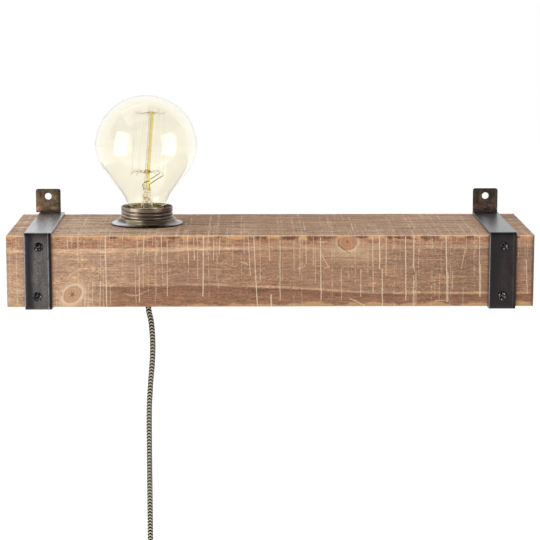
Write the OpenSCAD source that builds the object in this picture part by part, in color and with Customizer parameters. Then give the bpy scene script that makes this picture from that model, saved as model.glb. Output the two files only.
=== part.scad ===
// Wall lamp with shelf: a rough-sawn beam in two bent steel straps, a bare globe bulb in a
// lampholder sunk into the beam, and a textile cord with a hand switch and a flat plug.
// Millimetres. The wall is the plane y = 0, the lamp stands out along -Y, and +Z is up.
// The origin lies on the wall, midway between the two wall holes.

/* [Beam] */
// Length of the beam along the wall
beam_l = 400; // [390:5:600]
// Depth of the beam, from its back to its front face
beam_d = 116; // [100:1:160]
// Height of the beam
beam_h = 55; // [52:1:80]
// Width of the broken edges of the beam
beam_edge = 1; // [0.6:0.1:3]

/* [Brackets] */
// Distance from each end of the beam to the middle of its strap
strap_inset = 24; // [18:1:60]
// Width of the flat bar
strap_w = 20; // [16:1:30]
// Thickness of the flat bar
strap_t = 2; // [1.5:0.1:4]
// Inside radius of the bends
strap_bend = 0.5; // [0.2:0.1:0.6]
// Width of the bevels along the strap's front edges
strap_bevel = 2; // [1:0.1:3]
// Length of the strap's return under the beam
strap_return = 96; // [30:1:98]
// Height of the wall tab above the strap
tab_h = 19; // [16:1:40]
// How far outside its strap's middle the left tab is welded
tab_shift = 3; // [0:0.5:4]
// Radius of the tab's upper corners
tab_corner = 1.5; // [1:0.5:4]
// Diameter of the wall hole
tab_hole_d = 5.5; // [4:0.1:7]
// Distance from the tab's top down to the centre of the wall hole
tab_hole_drop = 6; // [5:0.5:8]
// Leg of the fillet weld between tab and strap
weld_leg = 2; // [1:0.2:3]

/* [Strap screws] */
// Diameter of the screw head
screw_head_d = 7; // [6:0.1:9]
// Height of the screw head
screw_head_h = 1.8; // [1.2:0.1:3]
// Diameter of the screw shank
screw_shank_d = 4; // [3:0.1:4.5]
// Length of the screw under its head
screw_l = 24; // [16:1:35]
// Distance from the beam's upper and lower edges to the screws
screw_inset = 8.5; // [7:0.5:15]

/* [Lampholder] */
// Place of the lampholder along the beam, from the middle
lamp_offset = -96.5; // [-130:0.5:130]
// Distance from the wall to the lampholder's axis
lamp_inset = 52; // [40:1:70]
// Outer diameter of the threaded mantle
mantle_d = 40.6; // [40:0.1:44]
// Wall thickness of the mantle
mantle_wall = 1.2; // [1:0.1:1.4]
// Height of the mantle above the beam
mantle_rise = 14; // [12:0.5:20]
// Depth of the mantle inside the beam
mantle_drop = 19; // [18:0.5:20]
// Pitch of the mantle's outer thread
thread_pitch = 2.7; // [2:0.1:3.5]
// Depth of the mantle's outer thread
thread_depth = 0.65; // [0.3:0.05:0.7]
// Diameter of the shade ring's rim
ring_d = 57; // [54:0.5:70]
// Height of the shade ring
ring_h = 5.2; // [4:0.1:8]
// Depth of the lampholder below the beam's top
holder_drop = 40; // [40:0.5:42]
// Inner diameter of the screw sleeve that takes the bulb
sleeve_d = 27; // [26.9:0.1:27.6]
// Outer diameter of the hollow fixing nipple
nipple_d = 10; // [9:0.5:12]
// Bore of the nipple
nipple_bore = 7; // [6.6:0.1:7.4]
// Depth of the recess for the nut in the underside
recess_depth = 6; // [5.5:0.1:8]
// Diameter of the recess for the nut
recess_d = 21; // [20:0.5:30]

/* [Bulb] */
// Diameter of the globe
bulb_d = 80; // [74:1:84]
// Length of the bulb from its contact to the top of the globe
bulb_len = 115; // [113:1:118]
// Thickness of the glass
glass_wall = 0.8; // [0.5:0.1:1.2]
// Radius of the glass neck above the cap
neck_r = 16; // [15.5:0.1:17]
// Outer diameter of the screw cap
cap_d = 26.4; // [26:0.1:26.5]
// Length of the screw cap with its contact
cap_len = 27; // [26:0.5:28]
// Number of upper filament supports
upper_supports = 8; // [6:1:10]
// Radius of the cage of filament strands
cage_r = 13; // [10:0.5:16]

/* [Cord] */
// Diameter of the textile cord
cord_d = 4.5; // [4.4:0.1:4.6]
// Full turns in the tied coil
coil_turns = 9; // [6:1:12]
// Distance between neighbouring turns, centre to centre
coil_pitch = 5.05; // [5.05:0.05:5.3]
// Radius of the coil at the middle of its turns
coil_r = 25; // [24:0.5:30]

/* [Hand switch] */
// Length of the switch along the cord
switch_l = 56; // [52:1:64]
// Width of the switch
switch_w = 24; // [23:1:28]
// Depth of the switch
switch_t = 16; // [15:0.5:20]
// Wall thickness of the switch shells
switch_wall = 1.6; // [1.2:0.1:2]
// Length of the rocker
rocker_l = 21; // [18:0.5:24]
// Width of the rocker
rocker_w = 10; // [8:0.5:11]
// Angle between the rocker's two positions
rocker_throw = 16; // [10:1:18]

/* [Plug] */
// Width of the plug across its pins
plug_w = 35; // [33:0.5:38]
// Thickness of the plug
plug_t = 13.7; // [12:0.1:16]
// Length of the plug body
plug_l = 34; // [30:1:40]
// Distance between the pins
pin_pitch = 19; // [18:0.1:19.2]
// Diameter of the pins
pin_d = 4; // [3.6:0.1:4.2]
// Length of the pins
pin_l = 19; // [17:0.5:20]

/* [Hidden] */
$fn = 64;
fine = 32;          // facets round the small pieces
fit = 0.1;          // clearance of pieces that sit in each other
run = 0.3;          // clearance of pieces that move past each other
cut = 1;            // how far a cutting body runs past the face that it opens

beam_x = tab_shift / 2;
strap_pitch = beam_l - 2 * strap_inset;
lamp_x = beam_x + lamp_offset;
tab_top_z = tab_hole_drop;
strap_top_z = tab_top_z - tab_h;
beam_top_z = strap_top_z - strap_t;
beam_bottom_z = beam_top_z - beam_h;

// Sideways offsets of the hand-drilled strap screws: left upper and lower, right upper and lower
screw_offsets = [0.9, -0.7, 0.6, 0];

// Lampholder, in heights above the beam's top
mantle_r = mantle_d / 2;
mantle_bore_r = mantle_r - mantle_wall;
bore_r = mantle_r + 0.7;
spigot_wall = 1;
spigot_r = mantle_bore_r - fit;
spigot_bore_r = spigot_r - spigot_wall;
spigot_h = 5.7;
spigot_top = -mantle_drop + spigot_h;
insert_r = spigot_bore_r - 0.2;
insert_top = 7;
insert_floor = -16;
insert_bottom = -25.5;
sleeve_r = sleeve_d / 2;
sleeve_wall = 0.4;
sleeve_foot_r = 9.6;
cavity_r = sleeve_r + sleeve_wall + 0.2;
leaf_h = 1.5;
terminal = [7, 8, 4];
terminal_bottom = insert_bottom - terminal[2];
rivet_r = 1.2;
rivets_x = [-6, 11.4];
terminals_x = [-8.2, 8.8];
nipple_r = nipple_d / 2;
neck_wall = 2.5;
neck_h = 3;
dome_h = 7;
nipple_top = -holder_drop + 3.5;
nipple_bottom = -beam_h + 1.5;
recess_ceiling = -beam_h + recess_depth;
washer_t = 1;
washer_r = 9;
nut_t = 3;
nut_af = 14;
bush_collar = 1.2;
bush_l = 5.5;
exit_z = nipple_bottom - bush_collar;
sheath_top = nipple_top + 1.5;
core_r = 0.9;

// Bulb, in the same heights
contact_z = insert_floor + leaf_h + run;
contact_h = 1.2;
contact_r = 4.6;
cap_r = cap_d / 2;
cap_wall = 0.35;
cap_top = contact_z + cap_len;
cap_shoulder = contact_z + 7.2;
insulator_top = contact_z + 3;
insulator_r = 8.5;
glass_root = 8;
globe_r = bulb_d / 2;
globe_z = contact_z + bulb_len - globe_r;
neck_z = cap_top + 3;
neck_round = 2.4;
belly_drop = globe_z - neck_z;      // from the widest place of the globe down to the neck
belly_pull = 0.46 * belly_drop;     // how far the globe's and the neck's own directions carry
neck_pull = 0.24 * belly_drop;
pinch = [6.4, 2.6, 7];
pinch_bottom = cap_top + 8;
pinch_top = pinch_bottom + pinch[2];
inner_h = globe_z + globe_r - pinch_top;
rod_bottom = [-0.3, 0, pinch_top + fit];
rod_top = [0.105 * globe_r, 0, pinch_top + 0.81 * inner_h];
rod_bottom_r = 1.6;
rod_top_r = 1.1;
lower_hub_z = pinch_top + 0.18 * inner_h;
upper_button_r = 2.1;
lower_button_r = 2.6;
hook_reach = 1.6;
wire_r = 0.22;
filament_r = 0.13;
lead_wire_r = 0.35;

// Free cord, measured from the point where it leaves the bush
cord_r = cord_d / 2;
exit_point = [lamp_x, -lamp_inset, beam_top_z + exit_z];
drop_path = [
    [0, 0, 0], [0, 0, -5], [0.5, 0, -14], [2.4, 0, -24], [3.2, 0, -33], [3.5, 0, -42],
    [3.3, 0, -51], [2.8, 0, -59], [2.1, 0, -67], [1.4, 0, -75], [0.8, 0, -84], [0.3, 0, -93],
    [0.1, 0, -102], [0, 0, -114], [0, 0, -128], [0, 0, -142], [0, 0, -156], [0, 0, -170],
    [0, 0, -184], [0, 0, -198], [0, 0, -211]
];
switch_top = drop_path[len(drop_path) - 1];
switch_mid = switch_top - [0, 0, switch_l / 2];
switch_end = switch_top - [0, 0, switch_l];
lead_steps = [
    [0, 0, 0], [0, 0, -5], [0.2, -0.4, -10], [1.6, -2, -17], [4.2, -4.4, -24], [7.6, -6.8, -31],
    [10.2, -7.6, -35.5], [12.4, -7.6, -39.3]
];
lead_path = [for (p = lead_steps) switch_end + p];
lead_end = lead_path[len(lead_path) - 1];
coil_entry = 30;    // place on the dial where the cord enters the coil, anticlockwise from the right
coil_sweep = 360 * coil_turns + coil_entry;
coil_step = 15;
layer_turns = coil_sweep / 360 / 4;
coil_outer_r = coil_r + coil_pitch * layer_turns / 2;
coil_inner_r = coil_r - coil_pitch * layer_turns / 2;
coil_start = lead_end + cord_d * [sin(coil_entry), 0, -cos(coil_entry)];
coil_centre = coil_start - coil_outer_r * [cos(coil_entry), 0, sin(coil_entry)];
coil_end = coil_centre + [coil_outer_r, 3 * coil_pitch, -cord_d];
tail_path = [for (z = [0, -5, -10, -15, -20]) coil_end + [0, 0, z]];
relief_top = tail_path[len(tail_path) - 1];
relief_l = 20;
plug_top = relief_top - [0, 0, relief_l];
plug_face = plug_top - [0, 0, plug_l];
pin_root = 8;
sleeve_l = pin_l - 9;

// Hand switch, from its middle
shell_d = switch_t / 2;
shell_end = 6;      // length of the solid end of a shell
pivot_y = -shell_d + 5.6;
pivot_r = 1.1;
pivot_l = 1.6;
rocker_rest = -rocker_throw / 2;
switch_block = [5, 4.4, 6];
switch_block_at = [4.8, 2, switch_l / 2 - 13];
switch_screw_at = [6, switch_l / 2 - 4];
switch_screw_r = 0.9;
switch_screw_tip = -4;
switch_sheath_l = 7;

// ---------------------------------------------------------------- helpers

function unit(v) = v / norm(v);

// Points on an arc, with the angles in degrees
function arc(centre, r, a0, a1, steps) =
    [for (i = [0 : steps]) let (a = a0 + (a1 - a0) * i / steps) centre + r * [cos(a), sin(a)]];

// Direction of a path at one of its points
function along(path, i) =
    unit(path[min(i + 1, len(path) - 1)] - path[max(i - 1, 0)]);

// One ring of a tube: normal is the direction of its first corner
function ring(p, t, normal, r, sides) =
    let (n = unit(normal - (normal * t) * t), b = cross(t, n))
    [for (j = [0 : sides - 1]) p + r * (cos(360 * j / sides) * n + sin(360 * j / sides) * b)];

// A tube along a path, as one closed mesh. normals holds one direction for each point.
module tube(path, normals, r, sides) {
    last = len(path) - 1;
    points = [for (i = [0 : last]) each ring(path[i], along(path, i), normals[i], r, sides)];
    walls = [for (i = [0 : last - 1], j = [0 : sides - 1])
        let (k = (j + 1) % sides, a = i * sides, b = a + sides)
        each [[a + j, b + j, b + k], [a + j, b + k, a + k]]];
    start = [for (j = [1 : sides - 2]) [0, j, j + 1]];
    end = [for (j = [1 : sides - 2]) [last * sides, last * sides + j + 1, last * sides + j]];
    polyhedron(points = points, faces = concat(walls, start, end));
}

// A tube whose first corners all face the same way
module plain_tube(path, normal, r, sides) {
    tube(path, [for (p = path) normal], r, sides);
}

// A cylinder or cone from one point to another
module bar(a, b, r1, r2) {
    v = b - a;
    translate(a)
        rotate([0, acos(v[2] / norm(v)), atan2(v[1], v[0])])
            cylinder(h = norm(v), r1 = r1, r2 = r2, $fn = fine);
}

// A cylinder from y = from to y = to, where to is the larger
module rod_y(r, from, to) {
    translate([0, to, 0]) rotate([90, 0, 0]) cylinder(h = to - from, r = r, $fn = fine);
}

// A rectangle with round corners, in the middle
module round_rect(w, h, r) {
    square([w - 2 * r, h], center = true);
    square([w, h - 2 * r], center = true);
    for (x = [-1, 1], y = [-1, 1])
        translate([x * (w / 2 - r), y * (h / 2 - r)]) circle(r);
}

// Extrudes an outline drawn in Y and Z along X, over a width in the middle
module along_x(w) {
    translate([-w / 2, 0, 0]) rotate([90, 0, 90]) linear_extrude(w) children();
}

// Places its children on the lampholder's axis, with z = 0 at the beam's top
module at_lamp() {
    translate([lamp_x, -lamp_inset, beam_top_z]) children();
}

// Places its children at the middle of the hand switch
module at_switch() {
    translate(exit_point + switch_mid) children();
}

// ---------------------------------------------------------------- beam and brackets

// Outline of the beam across its length, with broken edges
module beam_outline() {
    e = beam_edge;
    polygon([
        [-e, 0], [-beam_d + e, 0], [-beam_d, -e], [-beam_d, -beam_h + e],
        [-beam_d + e, -beam_h], [-e, -beam_h], [0, -beam_h + e], [0, -e]
    ]);
}

module beam() {
    bore_depth = holder_drop + run;
    color("peru") difference() {
        translate([beam_x, 0, beam_top_z]) along_x(beam_l) beam_outline();
        at_lamp() {
            translate([0, 0, -bore_depth]) cylinder(h = bore_depth + cut, r = bore_r);
            translate([0, 0, -beam_h - cut]) cylinder(h = beam_h, r = nipple_r + run);
            translate([0, 0, -beam_h - cut]) cylinder(h = recess_depth + cut, r = recess_d / 2);
        }
        at_strap_screws() rod_y(screw_shank_d / 2 + fit, 0, strap_t + screw_l);
    }
}

// Places a copy of its children under each strap screw's head, with +Y into the beam
module at_strap_screws() {
    for (side = [0, 1], row = [0, 1])
        translate([
            beam_x + (side - 0.5) * strap_pitch + screw_offsets[2 * side + row],
            -beam_d - strap_t,
            row == 0 ? beam_top_z - screw_inset : beam_bottom_z + screw_inset
        ]) children();
}

// One bend of the strap between an upright and a level run, about the origin
module bend_outline() {
    r = strap_bend + strap_t;
    difference() {
        intersection() {
            circle(r);
            translate([-r, 0]) square(r);
        }
        circle(strap_bend);
    }
}

// The strap seen along X: level on top, down the front, and back under the beam
module strap_outline() {
    front = -beam_d + strap_bend;
    translate([front, 0]) square([-front, strap_t]);
    translate([front, -strap_bend]) bend_outline();
    translate([-beam_d - strap_t, -beam_h + strap_bend]) square([strap_t, beam_h - 2 * strap_bend]);
    translate([front, -beam_h + strap_bend]) mirror([0, 1]) bend_outline();
    translate([front, -beam_h - strap_t]) square([strap_return - strap_bend, strap_t]);
}

// Bevels along both edges of the strap's front run, as bodies to cut away
module strap_bevels() {
    depth = 0.3 * strap_t;
    half = strap_w / 2;
    face = -beam_d - strap_t;
    translate([0, 0, -beam_h + strap_bend]) linear_extrude(beam_h - 2 * strap_bend)
        for (side = [-1, 1]) polygon([
            [side * (half - strap_bevel), face], [side * (half + cut), face - cut],
            [side * (half + cut), face + depth], [side * half, face + depth]
        ]);
}

module strap(side) {
    color("dimgray") difference() {
        translate([beam_x + side * strap_pitch / 2, 0, beam_top_z]) difference() {
            along_x(strap_w) strap_outline();
            strap_bevels();
        }
        at_strap_screws() rod_y(screw_shank_d / 2 + fit, -cut, strap_t + cut);
    }
}

// Places its children at the middle of each wall hole
module at_tab(side) {
    translate([side * (strap_pitch + tab_shift) / 2, 0, 0]) children();
}

// Front view of the wall tab, from its foot on the strap to its rounded top
module tab_outline() {
    half = strap_w / 2;
    difference() {
        union() {
            translate([-half, strap_top_z]) square([strap_w, tab_h - tab_corner]);
            translate([-half + tab_corner, strap_top_z]) square([strap_w - 2 * tab_corner, tab_h]);
            for (x = [-1, 1])
                translate([x * (half - tab_corner), tab_top_z - tab_corner]) circle(tab_corner);
        }
        circle(d = tab_hole_d);
    }
}

module wall_tab(side) {
    color("darkslategray") at_tab(side) rotate([90, 0, 0]) linear_extrude(strap_t) tab_outline();
}

// Hollow-faced fillet weld in the corner between each tab and its strap
module weld_beads() {
    w = strap_w - tab_shift - weld_leg;
    color("saddlebrown") for (side = [-1, 1])
        translate([side < 0 ? beam_x - (strap_pitch + tab_shift) / 2 : beam_x + strap_pitch / 2, 0, 0])
            translate([0, -strap_t, strap_top_z]) along_x(w)
                polygon(concat([[0, 0]], arc([-weld_leg, weld_leg], weld_leg, 0, -90, 6)));
}

// Pan head with a cross recess, seated on y = 0 with its shank along +Y
module wood_screw() {
    r = screw_head_d / 2;
    shank_r = screw_shank_d / 2;
    slot = [1, 0.55 * screw_head_d, 0.6 * screw_head_h];
    rotate([-90, 0, 0]) difference() {
        rotate_extrude($fn = fine) polygon(concat(
            [[0, -screw_head_h]],
            [for (a = [18 : 18 : 90]) [r * sin(a), -screw_head_h * (0.35 + 0.65 * cos(a))]],
            [[r, 0], [shank_r, 0], [shank_r, screw_l - screw_shank_d], [0, screw_l]]
        ));
        for (turn = [45, 135]) rotate([0, 0, turn])
            translate([-slot[0] / 2, -slot[1] / 2, -screw_head_h - cut])
                cube([slot[0], slot[1], slot[2] + cut]);
    }
}

module strap_screws() {
    color("black") at_strap_screws() wood_screw();
}

// ---------------------------------------------------------------- lampholder

// Side of the mantle: a plain lip above rounded grooves down to its lower edge
module mantle_outline() {
    lip = 2.6;
    groove = 0.32 * thread_pitch;
    first = mantle_rise - lip - groove;
    grooves = floor((first + mantle_drop - groove) / thread_pitch);
    polygon(concat(
        [[mantle_bore_r, mantle_rise - 0.4], [mantle_bore_r + 0.4, mantle_rise],
         [mantle_r - 0.5, mantle_rise], [mantle_r, mantle_rise - 0.5]],
        [for (k = [0 : grooves]) let (z = first - k * thread_pitch)
            each [[mantle_r, z + groove], [mantle_r - thread_depth, z + 0.3 * groove],
                  [mantle_r - thread_depth, z - 0.3 * groove], [mantle_r, z - groove]]],
        [[mantle_r, -mantle_drop], [mantle_bore_r, -mantle_drop]]
    ));
}

module lampholder_mantle() {
    color("dimgray") at_lamp() rotate_extrude() mantle_outline();
}

// Pressed ring: a foot and a hub on the beam, and a hollow flared flange between them
module shade_ring() {
    bore = mantle_r + fit;
    rim = ring_d / 2;
    hub = bore + 1.2;
    flare = ring_h - 1.6;
    color("dimgray") at_lamp() rotate_extrude() polygon(concat(
        [[bore, 0], [hub + 0.6, 0], [hub + 0.9, 0.7], [rim - 1.6, 0.4], [rim - 1.1, 0],
         [rim, 0], [rim, 0.7], [rim - 0.4, 1], [rim - 1, 0.9]],
        arc([rim - 1, 0.9 + flare], flare, -100, -150, 5),
        [[hub + 0.5, 0.62 * ring_h], [hub + 0.4, 0.8 * ring_h], [hub - 0.2, ring_h],
         [bore + 0.3, ring_h], [bore, ring_h - 0.3]]
    ));
}

// Lower half of the lampholder: a spigot inside the mantle, a drum, a dome and a threaded neck
module lampholder_cap() {
    drum_bottom = -holder_drop + neck_h + dome_h;
    neck_out = nipple_r + neck_wall;
    neck_in = nipple_r + fit / 2;
    inner = spigot_bore_r;
    color("dimgray") at_lamp() rotate_extrude() polygon(concat(
        [[spigot_r, spigot_top], [spigot_r, -mantle_drop], [mantle_r, -mantle_drop]],
        arc([mantle_r - dome_h, drum_bottom], dome_h, 0, -90, 8),
        [[neck_out, drum_bottom - dome_h], [neck_out, -holder_drop], [neck_in, -holder_drop],
         [neck_in, drum_bottom - dome_h + mantle_wall]],
        arc([inner - dome_h + mantle_wall, drum_bottom], dome_h - mantle_wall, -90, 0, 8),
        [[inner, spigot_top]]
    ));
}

// Porcelain cup: a floor for the contacts, a skirt round the sleeve and a collar on the spigot
module lampholder_insert() {
    collar_h = 1.5;
    color("ivory") at_lamp() difference() {
        union() {
            translate([0, 0, insert_bottom]) cylinder(h = insert_top - insert_bottom, r = insert_r);
            translate([0, 0, spigot_top]) cylinder(h = collar_h, r = spigot_r);
        }
        translate([0, 0, insert_floor]) cylinder(h = insert_top - insert_floor + cut, r = cavity_r);
        for (x = rivets_x) translate([x, 0, insert_bottom - cut])
            cylinder(h = insert_floor - insert_bottom + 2 * cut, r = rivet_r + fit, $fn = fine);
    }
}

// Thin screw sleeve: a turned-in foot, and a flared rim on top of the porcelain
module thread_sleeve() {
    outer = sleeve_r + sleeve_wall;
    rim = insert_r - 0.8;
    color("gold") at_lamp() rotate_extrude() polygon([
        [sleeve_foot_r, insert_floor], [outer, insert_floor], [outer, insert_top], [rim, insert_top],
        [rim, insert_top + sleeve_wall], [sleeve_r, insert_top + sleeve_wall],
        [sleeve_r, insert_floor + sleeve_wall], [sleeve_foot_r, insert_floor + sleeve_wall]
    ]);
}

// Leaf spring under the bulb's contact, folded back on itself
module centre_contact() {
    t = 0.4;
    w = 5;
    x = rivets_x[0] - 2;
    z = insert_floor;
    color("gold") at_lamp() translate([0, w / 2, 0]) rotate([90, 0, 0]) linear_extrude(w) polygon([
        [x, z], [3.4, z], [4.2, z + 0.5], [3.8, z + 1], [-1.5, z + leaf_h],
        [-1.5, z + leaf_h - t], [3, z + 0.6], [3, z + t], [x, z + t]
    ]);
}

// Two brass terminals under the insert, each with a rivet up to its contact
module holder_terminals() {
    half_z = terminal_bottom + terminal[2] / 2;
    color("gold") at_lamp() for (i = [0, 1]) {
        translate([terminals_x[i], 0, half_z]) difference() {
            cube(terminal, center = true);
            rod_y(1.5 + fit / 2, -terminal[1] / 2 - cut, fit);
        }
        translate([rivets_x[i], 0, insert_bottom])
            cylinder(h = insert_floor - insert_bottom, r = rivet_r, $fn = fine);
    }
}

// Slotted screws that clamp the cores in the terminals
module terminal_screws() {
    face = -terminal[1] / 2;
    color("silver") at_lamp() for (x = terminals_x)
        translate([x, 0, terminal_bottom + terminal[2] / 2]) difference() {
            union() {
                rod_y(1.5, face, 0);
                rod_y(1.9, face - 1.4, face);
            }
            translate([-2, face - 2, -0.3]) cube([4, 1.2, 0.6]);
        }
}

// A ring about the lampholder's axis
module washer_like(bottom, h, r, bore) {
    translate([0, 0, bottom]) difference() {
        cylinder(h = h, r = r);
        translate([0, 0, -cut]) cylinder(h = h + 2 * cut, r = bore);
    }
}

// Hollow threaded tube that ties the lampholder down through the beam
module fixing_nipple() {
    color("silver") at_lamp()
        washer_like(nipple_bottom, nipple_top - nipple_bottom, nipple_r, nipple_bore / 2);
}

module nipple_washer() {
    color("silver") at_lamp()
        washer_like(recess_ceiling - washer_t, washer_t, washer_r, nipple_r + 0.2);
}

module nipple_nut() {
    color("silver") at_lamp() translate([0, 0, recess_ceiling - washer_t - nut_t]) difference() {
        cylinder(h = nut_t, d = nut_af / cos(30), $fn = 6);
        translate([0, 0, -cut]) cylinder(h = nut_t + 2 * cut, r = nipple_r + fit / 2);
    }
}

// Nylon bush that lines the mouth of the nipple
module cord_bush() {
    color("black") at_lamp() difference() {
        union() {
            translate([0, 0, exit_z]) cylinder(h = bush_collar, r = nipple_r + 0.5);
            translate([0, 0, exit_z]) cylinder(h = bush_collar + bush_l, r = nipple_bore / 2 - fit);
        }
        translate([0, 0, exit_z - cut])
            cylinder(h = bush_collar + bush_l + 2 * cut, r = cord_r + fit);
    }
}

// ---------------------------------------------------------------- cord inside the beam

module cord_inside() {
    color("darkkhaki") at_lamp() translate([0, 0, exit_z])
        cylinder(h = sheath_top - exit_z, r = cord_r, $fn = fine);
}

// Two insulated cores from the sheath's end up to the terminals
module cord_cores() {
    rise = terminal_bottom - sheath_top;
    color("saddlebrown") at_lamp() for (i = [0, 1]) {
        side = 2 * i - 1;
        foot = terminals_x[i];
        plain_tube([
            [side * 1.1, 0, sheath_top], [side * 1.1, 0, sheath_top + 0.15 * rise],
            [side * 2.4, 0, sheath_top + 0.35 * rise], [0.8 * foot, 0, sheath_top + 0.6 * rise],
            [foot, 0, sheath_top + 0.82 * rise], [foot, 0, terminal_bottom]
        ], [0, 1, 0], core_r, 8);
    }
}

// ---------------------------------------------------------------- bulb

// Place between four control points, at a share from 0 to 1
function bend_at(p, t) =
    (1 - t) ^ 3 * p[0] + 3 * (1 - t) ^ 2 * t * p[1] + 3 * (1 - t) * t ^ 2 * p[2] + t ^ 3 * p[3];

// Half outline of the globe, belly and neck at a depth below the outer surface, top to bottom
belly_steps = 18;
belly = [for (i = [0 : belly_steps]) bend_at([
    [globe_r, globe_z], [globe_r, globe_z - belly_pull], [neck_r, neck_z + neck_pull],
    [neck_r, neck_z]
], i / belly_steps)];
function glass_line(depth) = concat(
    arc([0, globe_z], globe_r - depth, 90, 0, 15),
    [for (i = [1 : belly_steps - 1]) let (t = along(belly, i)) belly[i] + depth * [t[1], -t[0]]],
    arc([neck_r - neck_round, neck_z], neck_round - depth, 0, -75, 4)
);

module bulb_glass() {
    root_r = cap_r - cap_wall - fit;
    root_bottom = cap_top - glass_root;
    outer = glass_line(0);
    inner = glass_line(glass_wall);
    color("wheat", 0.5) at_lamp() rotate_extrude() polygon(concat(
        outer,
        [[root_r, cap_top + 0.3], [root_r, root_bottom], [root_r - glass_wall, root_bottom],
         [root_r - glass_wall, cap_top + 0.3 + glass_wall]],
        [for (i = [len(inner) - 1 : -1 : 0]) inner[i]]
    ));
}

// Thin screw shell that narrows to the insulator
module bulb_cap() {
    color("gold") at_lamp() rotate_extrude() polygon([
        [cap_r, cap_top], [cap_r, cap_shoulder], [insulator_r, insulator_top],
        [insulator_r - cap_wall, insulator_top], [insulator_r - cap_wall, insulator_top + 0.6],
        [cap_r - cap_wall, cap_shoulder + 0.3], [cap_r - cap_wall, cap_top]
    ]);
}

module bulb_insulator() {
    top_r = insulator_r - cap_wall - fit;
    color("black") at_lamp() rotate_extrude() polygon([
        [0, contact_z + contact_h], [contact_r + 0.8, contact_z + contact_h],
        [top_r, insulator_top - 0.2], [top_r, insulator_top + 0.4], [0, insulator_top + 0.4]
    ]);
}

// Soldered contact button
module bulb_contact() {
    color("silver") at_lamp() rotate_extrude() polygon([
        [0, contact_z], [0.5 * contact_r, contact_z + 0.1], [0.85 * contact_r, contact_z + 0.4],
        [contact_r, contact_z + contact_h - fit], [0, contact_z + contact_h - fit]
    ]);
}

// Glass flare in the neck, drawn up to the flat pinch that holds the wires
module bulb_stem() {
    mouth_r = cap_r - cap_wall - 2 * fit - glass_wall;
    bottom = cap_top - glass_root;
    color("wheat", 0.6) at_lamp() {
        rotate_extrude() polygon([
            [0, bottom + 2], [mouth_r - 0.9, bottom], [mouth_r, bottom],
            [0.62 * mouth_r, bottom + 4], [0.42 * mouth_r, bottom + 9],
            [3.4, pinch_bottom - 2], [3, pinch_bottom], [0, pinch_bottom]
        ]);
        translate([0, 0, pinch_bottom + pinch[2] / 2 - 0.25])
            cube([pinch[0], pinch[1], pinch[2] + 0.5], center = true);
    }
}

// Radius and place of the leaning rod at a height
function rod_share(z) = (z - rod_bottom[2]) / (rod_top[2] - rod_bottom[2]);
function rod_at(z) = rod_bottom + rod_share(z) * (rod_top - rod_bottom);
function rod_r(z) = rod_bottom_r + rod_share(z) * (rod_top_r - rod_bottom_r);

// Leaning glass rod between the pinch and the upper supports
module bulb_rod() {
    color("khaki") at_lamp() bar(rod_bottom, rod_top - [0, 0, upper_button_r + fit], rod_bottom_r, rod_top_r);
}

// Place of the glass button of the lower (0) or upper (1) supports, and of a hook round it
function hub(level) = level == 1 ? rod_top : rod_at(lower_hub_z);
function hook(level, a) = hub(level) + cage_r * [cos(a), sin(a), 0];

// Angles of the upper hooks, and of the lower ones, which stand between and beyond them
function upper_angles() = [for (i = [0 : upper_supports - 1]) 30 + 300 * (i + 0.5) / upper_supports];
function lower_angles() = [for (i = [0 : upper_supports]) 30 + 300 * i / upper_supports];

// The upper hooks turn up and the lower ones down, away from the filament that they stretch
function reach(level, h) = [0, 0, level == 1 ? h : -h];

// A glass button with one hooked wire for each angle
module supports(level, angles, button_r) {
    translate(hub(level)) sphere(r = button_r, $fn = fine);
    for (a = angles) {
        out = [cos(a), sin(a), 0];
        tip = hook(level, a);
        plain_tube([
            hub(level) + 0.8 * button_r * out, hub(level) + 0.6 * cage_r * out + reach(level, 0.5),
            tip - 1.4 * out, tip - 0.5 * out + reach(level, hook_reach),
            tip + 0.3 * out + reach(level, hook_reach)
        ], [-sin(a), cos(a), 0], wire_r, 6);
    }
}

module bulb_supports_upper() {
    color("tan") at_lamp() supports(1, upper_angles(), upper_button_r);
}

module bulb_supports_lower() {
    r = rod_r(lower_hub_z) + fit;
    below = rod_at(lower_hub_z - 2 * lower_button_r);
    above = rod_at(lower_hub_z + 2 * lower_button_r);
    color("tan") at_lamp() difference() {
        supports(0, lower_angles(), lower_button_r);
        bar(below, above, r, r);
    }
}

// The filament runs up and down the cage, round the outside of every hook in turn
module bulb_filament() {
    over = hook_reach + wire_r + filament_r + fit;
    aside = wire_r + filament_r + fit;
    low = lower_angles();
    high = upper_angles();
    angles = [for (i = [0 : 2 * upper_supports]) i % 2 == 0 ? low[i / 2] : high[(i - 1) / 2]];
    path = [for (i = [0 : 2 * upper_supports], k = [-1 : 1]) let (a = angles[i], level = i % 2)
        hook(level, a) + reach(level, over - abs(k) * aside) + k * aside * [-sin(a), cos(a), 0]];
    color("orange") at_lamp()
        tube(path, [for (a = angles, k = [-1 : 1]) [cos(a), sin(a), 0]], filament_r, 5);
}

// Two stiff wires that leave the pinch upright, pass the rod and end below the outermost hooks
module bulb_lead_wires() {
    foot = pinch_top + fit;
    rise = 0.25 * (lower_hub_z - pinch_top);
    below = hook_reach + wire_r + 2 * filament_r + lead_wire_r + 2 * fit;
    color("dimgray") at_lamp() for (side = [0, 1]) {
        x = side == 0 ? 2.5 : -2.5;
        y = side == 0 ? -0.3 : 2.8;
        end = hook(0, lower_angles()[(1 - side) * upper_supports]) - [0, 0, below];
        plain_tube([
            [x, 0, foot], [x, 0, foot + 0.3 * rise], [x, y, foot + rise], end
        ], [0, 1, 0], lead_wire_r, 8);
    }
}

// ---------------------------------------------------------------- free cord

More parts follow.
